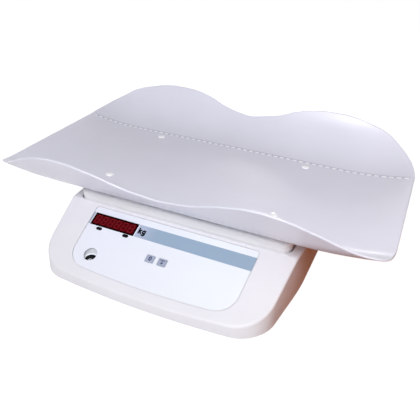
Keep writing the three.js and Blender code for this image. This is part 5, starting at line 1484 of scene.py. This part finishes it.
def displayBoard(sizes):
    left, right, top, bottom = sizes["left"], sizes["right"], -sizes["topV"], -sizes["bottomV"]
    tab, tabEnd = sizes["tabHalf"], -sizes["tabV"]
    outline = [(left, bottom), (-tab, bottom), (-tab, tabEnd), (tab, tabEnd)]
    outline += [(tab, bottom), (right, bottom), (right, top), (left, top)]
    sheet = plate("displayBoard", outline, sizes["low"], sizes["high"])
    cutFrom(sheet, *[rod("hole", sizes["hole"], -20, -8, x, -v, 32) for x, v in bossSizes["boardPlaces"]])
    finishPiece(onPanel(sheet), boardGreen, "base", ["display_board"], 30)
    plugX, plugY, tall = sizes["plug"]
    plug = bevelEdges(block("displayPlug", plugX, plugY, (sizes["low"] - tall, sizes["low"])), sizes["edge"], 2)
    finishPiece(onPanel(plug), plugNylon, "base")
    x, y, halfX, halfY = panelSizes["windowX"], -panelSizes["windowV"], sizes["moduleX"], sizes["moduleY"]
    tall = (sizes["foot"], sizes["moduleTop"])
    module = block("displayModule", (x - halfX, x + halfX), (y - halfY, y + halfY), tall)
    bevelEdges(module, sizes["moduleEdge"], 2)
    finishPiece(onPanel(module), chipResin, "base", ["display_module"], 30)
    half = (-sizes["pinHalf"], sizes["pinHalf"])
    pin = block("pin", half, half, (sizes["low"] - sizes["pinOut"], sizes["pinTop"]))
    first = x - sizes["pinPitch"] * (sizes["pins"] - 1) / 2
    places = [(first + sizes["pinPitch"] * i, y + side * sizes["pinY"])
              for i in range(sizes["pins"]) for side in (-1, 1)]
    pins = repeat("displayPins", turnAll(pin, flatFrame), places, screwSteel)
    finishPiece(turnAll(pins, panelFrame), screwSteel, "base")


def keySwitch(name, x, node, sizes):
    half, y, radius, top = sizes["switchHalf"], -keyV, sizes["plunger"], sizes["plungerTop"]
    body = block(name, (x - half, x + half), (y - half, y + half), (sizes["foot"], sizes["switchTop"]))
    bevelEdges(body, sizes["edge"], 1)
    edge = sizes["plungerEdge"]
    plunger = [(0, -10), (radius, -10), (radius, top - edge), (radius - edge, top), (0, top)]
    joinTo(body, turned("plunger", plunger, 32, x, y))
    finishPiece(onPanel(body), chipResin, "base", [node], 30)


displayBoard(displaySizes)
keySwitch("zeroSwitch", zeroX, "zero_switch", displaySizes)
keySwitch("tareSwitch", tareX, "tare_switch", displaySizes)
boardScrew = dict(smallScrew, length=displaySizes["screwLength"])
for i, (x, v) in enumerate(bossSizes["boardPlaces"]):
    screw = crossScrew("displayBoardScrew%d" % (i + 1), displaySizes["screwSeat"], -1, boardScrew)
    turnAll(screw, panelFrame @ Matrix.Translation((x * mm, -v * mm - platformY, 0)))
    finishPiece(screw, screwSteel, "base", ["display_board_screw_%d" % (i + 1)], 30)

# the three leads follow their solids, rounded
for name, node in (("cellLead", "load_cell_cable"), ("powerLead", "power_cable"), ("displayLead", "display_cable")):
    lead = cadCopy(name, node)
    step = lead.modifiers.new("round", "SUBSURF")
    step.levels = step.render_levels = 1
    finishPiece(bake(lead), cableJacket, "base", [node], 60)

# power inlet and rocker switch in the rear wall
rearSizes = {
    "seat": 117.0, "z": 30.0,
    "barrel": 5.6, "flange": 8.0, "flangeDepth": 1.6, "flangeEdge": 0.6, "length": 14.0,
    "socket": 3.2, "socketEdge": 0.4, "socketDepth": 9.5, "pin": 1.0, "pinEdge": 0.5,
    "bezelX": 8.2, "bezelZ": 11.2, "bezelDepth": 1.8, "bezelCorner": 1.5, "bezelEdge": 0.6,
    "bodyX": 6.6, "bodyZ": 9.6, "bodyLow": -12.2, "bodyTop": 0.5, "pocketX": 5.55, "pocketZ": 8.7, "pocketDepth": 8.1,
    "rockerX": 5.2, "rockerZ": 8.0, "rockerEdge": 0.3, "lip": 1.5, "dish": 1.2, "tilt": 10.0,
    "keel": ((2.5, 6.6), (5.0, 2.0), (5.0, -2.0), (2.5, -6.6)),
    "bar": (0.4, (-6.0, -3.2), (0.5, 1.2)), "ring": (1.1, 1.7, (0.2, 1.2), 4.6),
}
inletX = spotOf("power_inlet")[0]
rockerX = spotOf("power_switch")[0]


def onRear(piece, x, sizes):
    spot = Matrix.Translation(place((x, sizes["seat"], sizes["z"])))
    return turnAll(piece, spot @ Matrix.Rotation(math.radians(-90), 4, "X") @ flatFrame)


def powerInlet(sizes):
    face, edge, socket, socketEdge = (sizes[k] for k in ("flangeDepth", "flangeEdge", "socket", "socketEdge"))
    barrel, flange, pin, pinEdge = (sizes[k] for k in ("barrel", "flange", "pin", "pinEdge"))
    tail, floorOf, pinTop = face - sizes["length"], face - sizes["socketDepth"], face - socket
    profile = [(0, tail), (barrel, tail)] + thread(barrel, tail + 1, 0, 1.0) + [(barrel, 0), (flange, 0)]
    profile += arcTo((flange - edge, face - edge), edge, 0, 90, 4)
    profile += [(socket + socketEdge, face), (socket, face - socketEdge), (socket, floorOf)]
    profile += [(pin, floorOf), (pin, pinTop - pinEdge), (pin - pinEdge, pinTop), (0, pinTop)]
    return turned("powerInlet", profile, 64)


inlet = onRear(powerInlet(rearSizes), inletX, rearSizes)
finishPiece(inlet, blackPlastic, "base", ["power_inlet"], 30)


def switchBody(sizes):
    depth, corner, pocketLow = sizes["bezelDepth"], sizes["bezelCorner"], sizes["bezelDepth"] - sizes["pocketDepth"]
    bezelX, bezelZ, bodyX, bodyZ, pocketX, pocketZ = (
        sizes[k] for k in ("bezelX", "bezelZ", "bodyX", "bodyZ", "pocketX", "pocketZ"))
    bezel = skin("powerSwitch", [at(roundedRectangle(bezelX, bezelZ, corner, inset, 6), depth - fall)
                                 for inset, fall in [(0, depth)] + edgeSteps(sizes["bezelEdge"], 4)])
    joinTo(bezel, block("body", (-bodyX, bodyX), (-bodyZ, bodyZ), (sizes["bodyLow"], sizes["bodyTop"])))
    return cutFrom(bezel, block("pocket", (-pocketX, pocketX), (-pocketZ, pocketZ), (pocketLow, 4)))


switch = onRear(switchBody(rearSizes), rockerX, rearSizes)
finishPiece(switch, blackPlastic, "base", ["power_switch"], 30)


def rockerPieces(sizes):
    pivot, half = sizes["bezelDepth"] - sizes["lip"], sizes["rockerX"]
    dip = [(pivot + sizes["lip"] - sizes["dish"] * (1 - (z / sizes["rockerZ"]) ** 2), z)
           for z in (sizes["rockerZ"] * (i / 8 - 1) for i in range(17))]
    points = dip + [(pivot - deep, z) for deep, z in sizes["keel"]]
    rings = [[(x, -z, w) for w, z in points] for x in (-half, half)]
    body = bevelEdges(skin("powerRocker", rings), sizes["rockerEdge"], 2, 50)
    barHalf, barYs, (low, high) = sizes["bar"]
    bar = block("onMark", (-barHalf, barHalf), barYs, (pivot + low, pivot + high))
    inner, outer, (low, high), ringY = sizes["ring"]
    rim = [(inner, low), (outer, low), (outer, high), (inner, high), (inner, low)]
    ring = turned("offMark", rim, 32, 0, ringY, pivot)
    tilt = Matrix.Translation((0, platformY, pivot * mm)) @ Matrix.Rotation(math.radians(-sizes["tilt"]), 4, "X")
    tilt = tilt @ Matrix.Translation((0, -platformY, -pivot * mm))
    return [onRear(turnAll(piece, tilt), rockerX, sizes) for piece in (body, bar, ring)]


rocker, onMark, offMark = rockerPieces(rearSizes)
finishPiece(rocker, blackPlastic, "power_rocker", ["power_rocker"], 30)
finishPiece(oneMesh("rockerMarks", [onMark, offMark]), whiteInk, "power_rocker")

# levelling feet
footSizes = {
    "pad": 16.0, "padHeight": 4.2, "edge": 1.2, "socket": 2.95, "socketFloor": 1.4, "sole": 12.0, "soleDepth": 0.5,
    "ball": 2.6, "ballLow": 1.7, "ballEdge": 0.6, "wheelLow": 4.5, "wheelTop": 7.6, "wheel": 12.3, "wheelEdge": 0.5,
    "ribs": 36, "rib": 0.75, "ribShort": 0.6, "stem": 4.0, "stemTop": 26.0, "stemPoint": 2.9, "pitch": 1.25,
}


def footPad(sizes):
    pad, top, edge, socket = sizes["pad"], sizes["padHeight"], sizes["edge"], sizes["socket"]
    lower = arcTo((pad - edge, edge), edge, -90, 0, 6)
    upper = arcTo((pad - edge, top - edge), edge, 0, 90, 6)
    deep, low = sizes["soleDepth"], sizes["socketFloor"]
    sole = [(0, deep), (sizes["sole"] - deep, deep), (sizes["sole"], 0)]
    return turned("footPad", sole + lower + upper + [(socket, top), (socket, low), (0, low)], 72)


def wheelTree():
    tree, given = newTree("knurledWheel", [
        ("Radius", "NodeSocketFloat"), ("Rib", "NodeSocketFloat"), ("Depth", "NodeSocketFloat"),
        ("Middle", "NodeSocketVector"), ("Count", "NodeSocketInt"), ("Material", "NodeSocketMaterial")])
    ring = addNode(tree, "GeometryNodeMeshCircle", {"Vertices": given["Count"], "Radius": given["Radius"]}).outputs[0]
    ribShape = {"Vertices": 10, "Radius": given["Rib"], "Depth": given["Depth"]}
    rib = addNode(tree, "GeometryNodeMeshCylinder", ribShape).outputs[0]
    ribRing = addNode(tree, "GeometryNodeInstanceOnPoints", {"Points": ring, "Instance": rib}).outputs[0]
    moved = addNode(tree, "GeometryNodeTransform", {"Geometry": ribRing, "Translation": given["Middle"]}).outputs[0]
    endTree(tree, moved, given["Material"])
    return tree


def footStem(sizes):
    low, high, wheel, stem, top = (sizes[k] for k in ("wheelLow", "wheelTop", "wheel", "stem", "stemTop"))
    ribs = grow("wheelRibs", wheelTree(), {
        "Radius": wheel * mm, "Rib": sizes["rib"] * mm, "Depth": (high - low - sizes["ribShort"]) * mm,
        "Count": sizes["ribs"], "Middle": place((0, 0, (low + high) / 2)), "Material": screwSteel})
    ball, ballLow, ballEdge, edge = (sizes[k] for k in ("ball", "ballLow", "ballEdge", "wheelEdge"))
    profile = [(0, ballLow), (ball - ballEdge, ballLow), (ball, ballLow + ballEdge), (ball, low)]
    profile += [(wheel - edge, low), (wheel, low + edge), (wheel, high - edge), (wheel - edge, high), (stem, high)]
    profile += thread(stem, high + edge, top - 1, sizes["pitch"]) + [(sizes["stemPoint"], top), (0, top)]
    return oneMesh("footStem", [turned("stem", profile, 56), ribs])


pad, stem = footPad(footSizes), footStem(footSizes)
for corner, (x, y) in footSpots.items():
    for piece, name, material, slot in (
            (pad, "foot_pad_", footRubber, "rubber"), (stem, "foot_stem_", screwSteel, "steel")):
        mesh = piece.data.copy()
        mesh.transform(Matrix.Translation((x * mm, y * mm, 0)))
        copied = newPiece(name.replace("_", "") + corner.replace("_", ""), mesh)
        finishPiece(copied, material, name + corner, [name + corner], 40)
drop(pad, stem)
print("inside and feet ready")


# camera, floor, side card, lamps and surroundings
viewSizes = {
    "eye": (264.81, -582.28, 428.73),
    "turn": 24.317,
    "down": 31.916,
    "roll": 1.175,
    "lens": 42.785,
    "sensor": 36.0,
    "nearest": 10.0,
}


def makeCamera(sizes):
    turn, down, roll = (math.radians(sizes[k]) for k in ("turn", "down", "roll"))
    ahead = Vector((-math.sin(turn) * math.cos(down), math.cos(turn) * math.cos(down), -math.sin(down)))
    right = Vector((math.cos(turn), math.sin(turn), 0.0))
    up = right.cross(ahead)
    acrossView = right * math.cos(roll) + up * math.sin(roll)
    upView = up * math.cos(roll) - right * math.sin(roll)
    camera = bpy.data.objects.new("photoView", bpy.data.cameras.new("photoView"))
    camera.data.sensor_fit = "HORIZONTAL"
    camera.data.sensor_width = sizes["sensor"]
    camera.data.lens = sizes["lens"]
    camera.data.clip_start = sizes["nearest"] * mm
    frameOf = Matrix((acrossView, upView, -ahead)).transposed().to_4x4()
    frameOf.translation = place(sizes["eye"])
    camera.matrix_world = frameOf
    scene.collection.objects.link(camera)
    scene.camera = camera


def emptyTree(owner):
    owner.use_nodes = True
    owner.node_tree.nodes.clear()
    return owner.node_tree


def seenDirectly(tree):
    path = addNode(tree, "ShaderNodeLightPath").outputs
    seen = calc(tree, "MAXIMUM", path["Is Camera Ray"], path["Is Glossy Ray"])
    return calc(tree, "MAXIMUM", seen, path["Is Transmission Ray"])


floorSizes = {
    "reach": 3000.0,
    "near": "#E0DDDB",
    "far": "#8C4606",
    "brownFrom": (150.0, 172.0),
    "brownTo": (420.0, 520.0),
    "brownBehind": (-215.0, -135.0),
    "glow": 0.955,
    "shade": 0.3,
}


def makeFloor(sizes):
    reach = sizes["reach"]
    corners = [(-reach, -reach, 0), (reach, -reach, 0), (reach, reach, 0), (-reach, reach, 0)]
    floor = pieceFrom("floor", corners, [(0, 1, 2, 3)])
    made = bpy.data.materials.new("palePaper")
    tree = emptyTree(made)
    spot = addNode(tree, "ShaderNodeTexCoord").outputs["Object"]
    parts = addNode(tree, "ShaderNodeSeparateXYZ", {0: spot}).outputs
    across, low, high = parts["X"], sizes["brownFrom"], sizes["brownTo"]
    front, behind = sizes["brownBehind"]
    rising = ramp(tree, across, low[0] * mm, low[1] * mm, smooth=True)
    falling = ramp(tree, across, high[1] * mm, high[0] * mm, smooth=True)
    deep = ramp(tree, parts["Y"], front * mm, behind * mm, smooth=True)
    side = calc(tree, "MULTIPLY", calc(tree, "MULTIPLY", rising, falling), deep)
    table = mixColour(tree, side, colourOf(sizes["near"]), colourOf(sizes["far"]))
    wood = addNode(tree, "ShaderNodeBsdfDiffuse", {"Color": table}).outputs[0]
    paper = addNode(tree, "ShaderNodeBsdfDiffuse", {"Color": (sizes["shade"],) * 3 + (1.0,)}).outputs[0]
    glow = addNode(tree, "ShaderNodeEmission", {"Strength": sizes["glow"]}).outputs[0]
    lit = addNode(tree, "ShaderNodeAddShader", {0: paper, 1: glow}).outputs[0]
    path = addNode(tree, "ShaderNodeLightPath").outputs
    mirrored = calc(tree, "MULTIPLY", path["Is Glossy Ray"], calc(tree, "SUBTRACT", 1.0, side))
    direct = calc(tree, "MAXIMUM", path["Is Camera Ray"], path["Is Transmission Ray"])
    seen = calc(tree, "MAXIMUM", direct, mirrored)
    shown = addNode(tree, "ShaderNodeMixShader", {0: seen, 1: wood, 2: lit}).outputs[0]
    addNode(tree, "ShaderNodeOutputMaterial", {"Surface": shown})
    floor.data.materials.append(made)


cardSizes = {"x": 290.0, "ys": (-225.0, 150.0), "high": 60.0, "colour": "#964900", "strength": 1.85}


def makeCard(sizes):
    x, (front, back), high = sizes["x"], sizes["ys"], sizes["high"]
    card = pieceFrom("brownCard", [(x, front, 0), (x, back, 0), (x, back, high), (x, front, high)], [(0, 1, 2, 3)])
    made = bpy.data.materials.new("brownCard")
    tree = emptyTree(made)
    glow = addNode(tree, "ShaderNodeEmission", {"Color": colourOf(sizes["colour"]), "Strength": sizes["strength"]})
    addNode(tree, "ShaderNodeOutputMaterial", {"Surface": glow.outputs[0]})
    card.data.materials.append(made)
    card.visible_camera = False
    card.visible_shadow = False


# name: where it stands, what it aims at, its width, its power and its colour
lightSizes = {
    "key": ((140.0, -1215.0, 1170.0), (0.0, 0.0, 60.0), 460.0, 19.2, "#F9FAFF"),
    "side": ((540.0, -200.0, 430.0), (220.0, 110.0, 120.0), 300.0, 0.72, "#FDF3EC"),
    "rear": ((-260.0, 1500.0, 300.0), (0.0, 110.0, 80.0), 500.0, 9.0, "#FFFFFF"),
}


def makeLights(lights):
    for name, (at, aim, size, power, colour) in lights.items():
        lamp = bpy.data.lights.new(name, "AREA")
        lamp.size = size * mm
        lamp.energy = power
        lamp.color = colourOf(colour)[:3]
        piece = bpy.data.objects.new(name, lamp)
        here = Vector(place(at))
        piece.rotation_euler = (Vector(place(aim)) - here).to_track_quat("-Z", "Y").to_euler()
        piece.location = here
        scene.collection.objects.link(piece)


worldSizes = {"room": "#ECEAF2", "brown": "#6A3604", "aside": (0.15, 0.6), "low": (0.75, 0.4), "strength": 0.155}


def makeWorld(sizes):
    world = bpy.data.worlds.new("studio")
    scene.world = world
    tree = emptyTree(world)
    aim = addNode(tree, "ShaderNodeTexCoord").outputs["Generated"]
    parts = addNode(tree, "ShaderNodeSeparateXYZ", {0: aim}).outputs
    aside = ramp(tree, parts["X"], *sizes["aside"], smooth=True)
    low = ramp(tree, parts["Z"], *sizes["low"], smooth=True)
    brown = calc(tree, "MULTIPLY", aside, low)
    room = mixColour(tree, brown, colourOf(sizes["room"]), colourOf(sizes["brown"]))
    around = addNode(tree, "ShaderNodeBackground", {"Color": room, "Strength": sizes["strength"]}).outputs[0]
    white = addNode(tree, "ShaderNodeBackground", {"Color": (1.0, 1.0, 1.0, 1.0), "Strength": 1.0}).outputs[0]
    shown = addNode(tree, "ShaderNodeMixShader", {0: seenDirectly(tree), 1: around, 2: white}).outputs[0]
    addNode(tree, "ShaderNodeOutputWorld", {"Surface": shown})


makeCamera(viewSizes)
makeFloor(floorSizes)
makeCard(cardSizes)
makeLights(lightSizes)
makeWorld(worldSizes)
scene.view_settings.view_transform = "Standard"
print("studio ready")
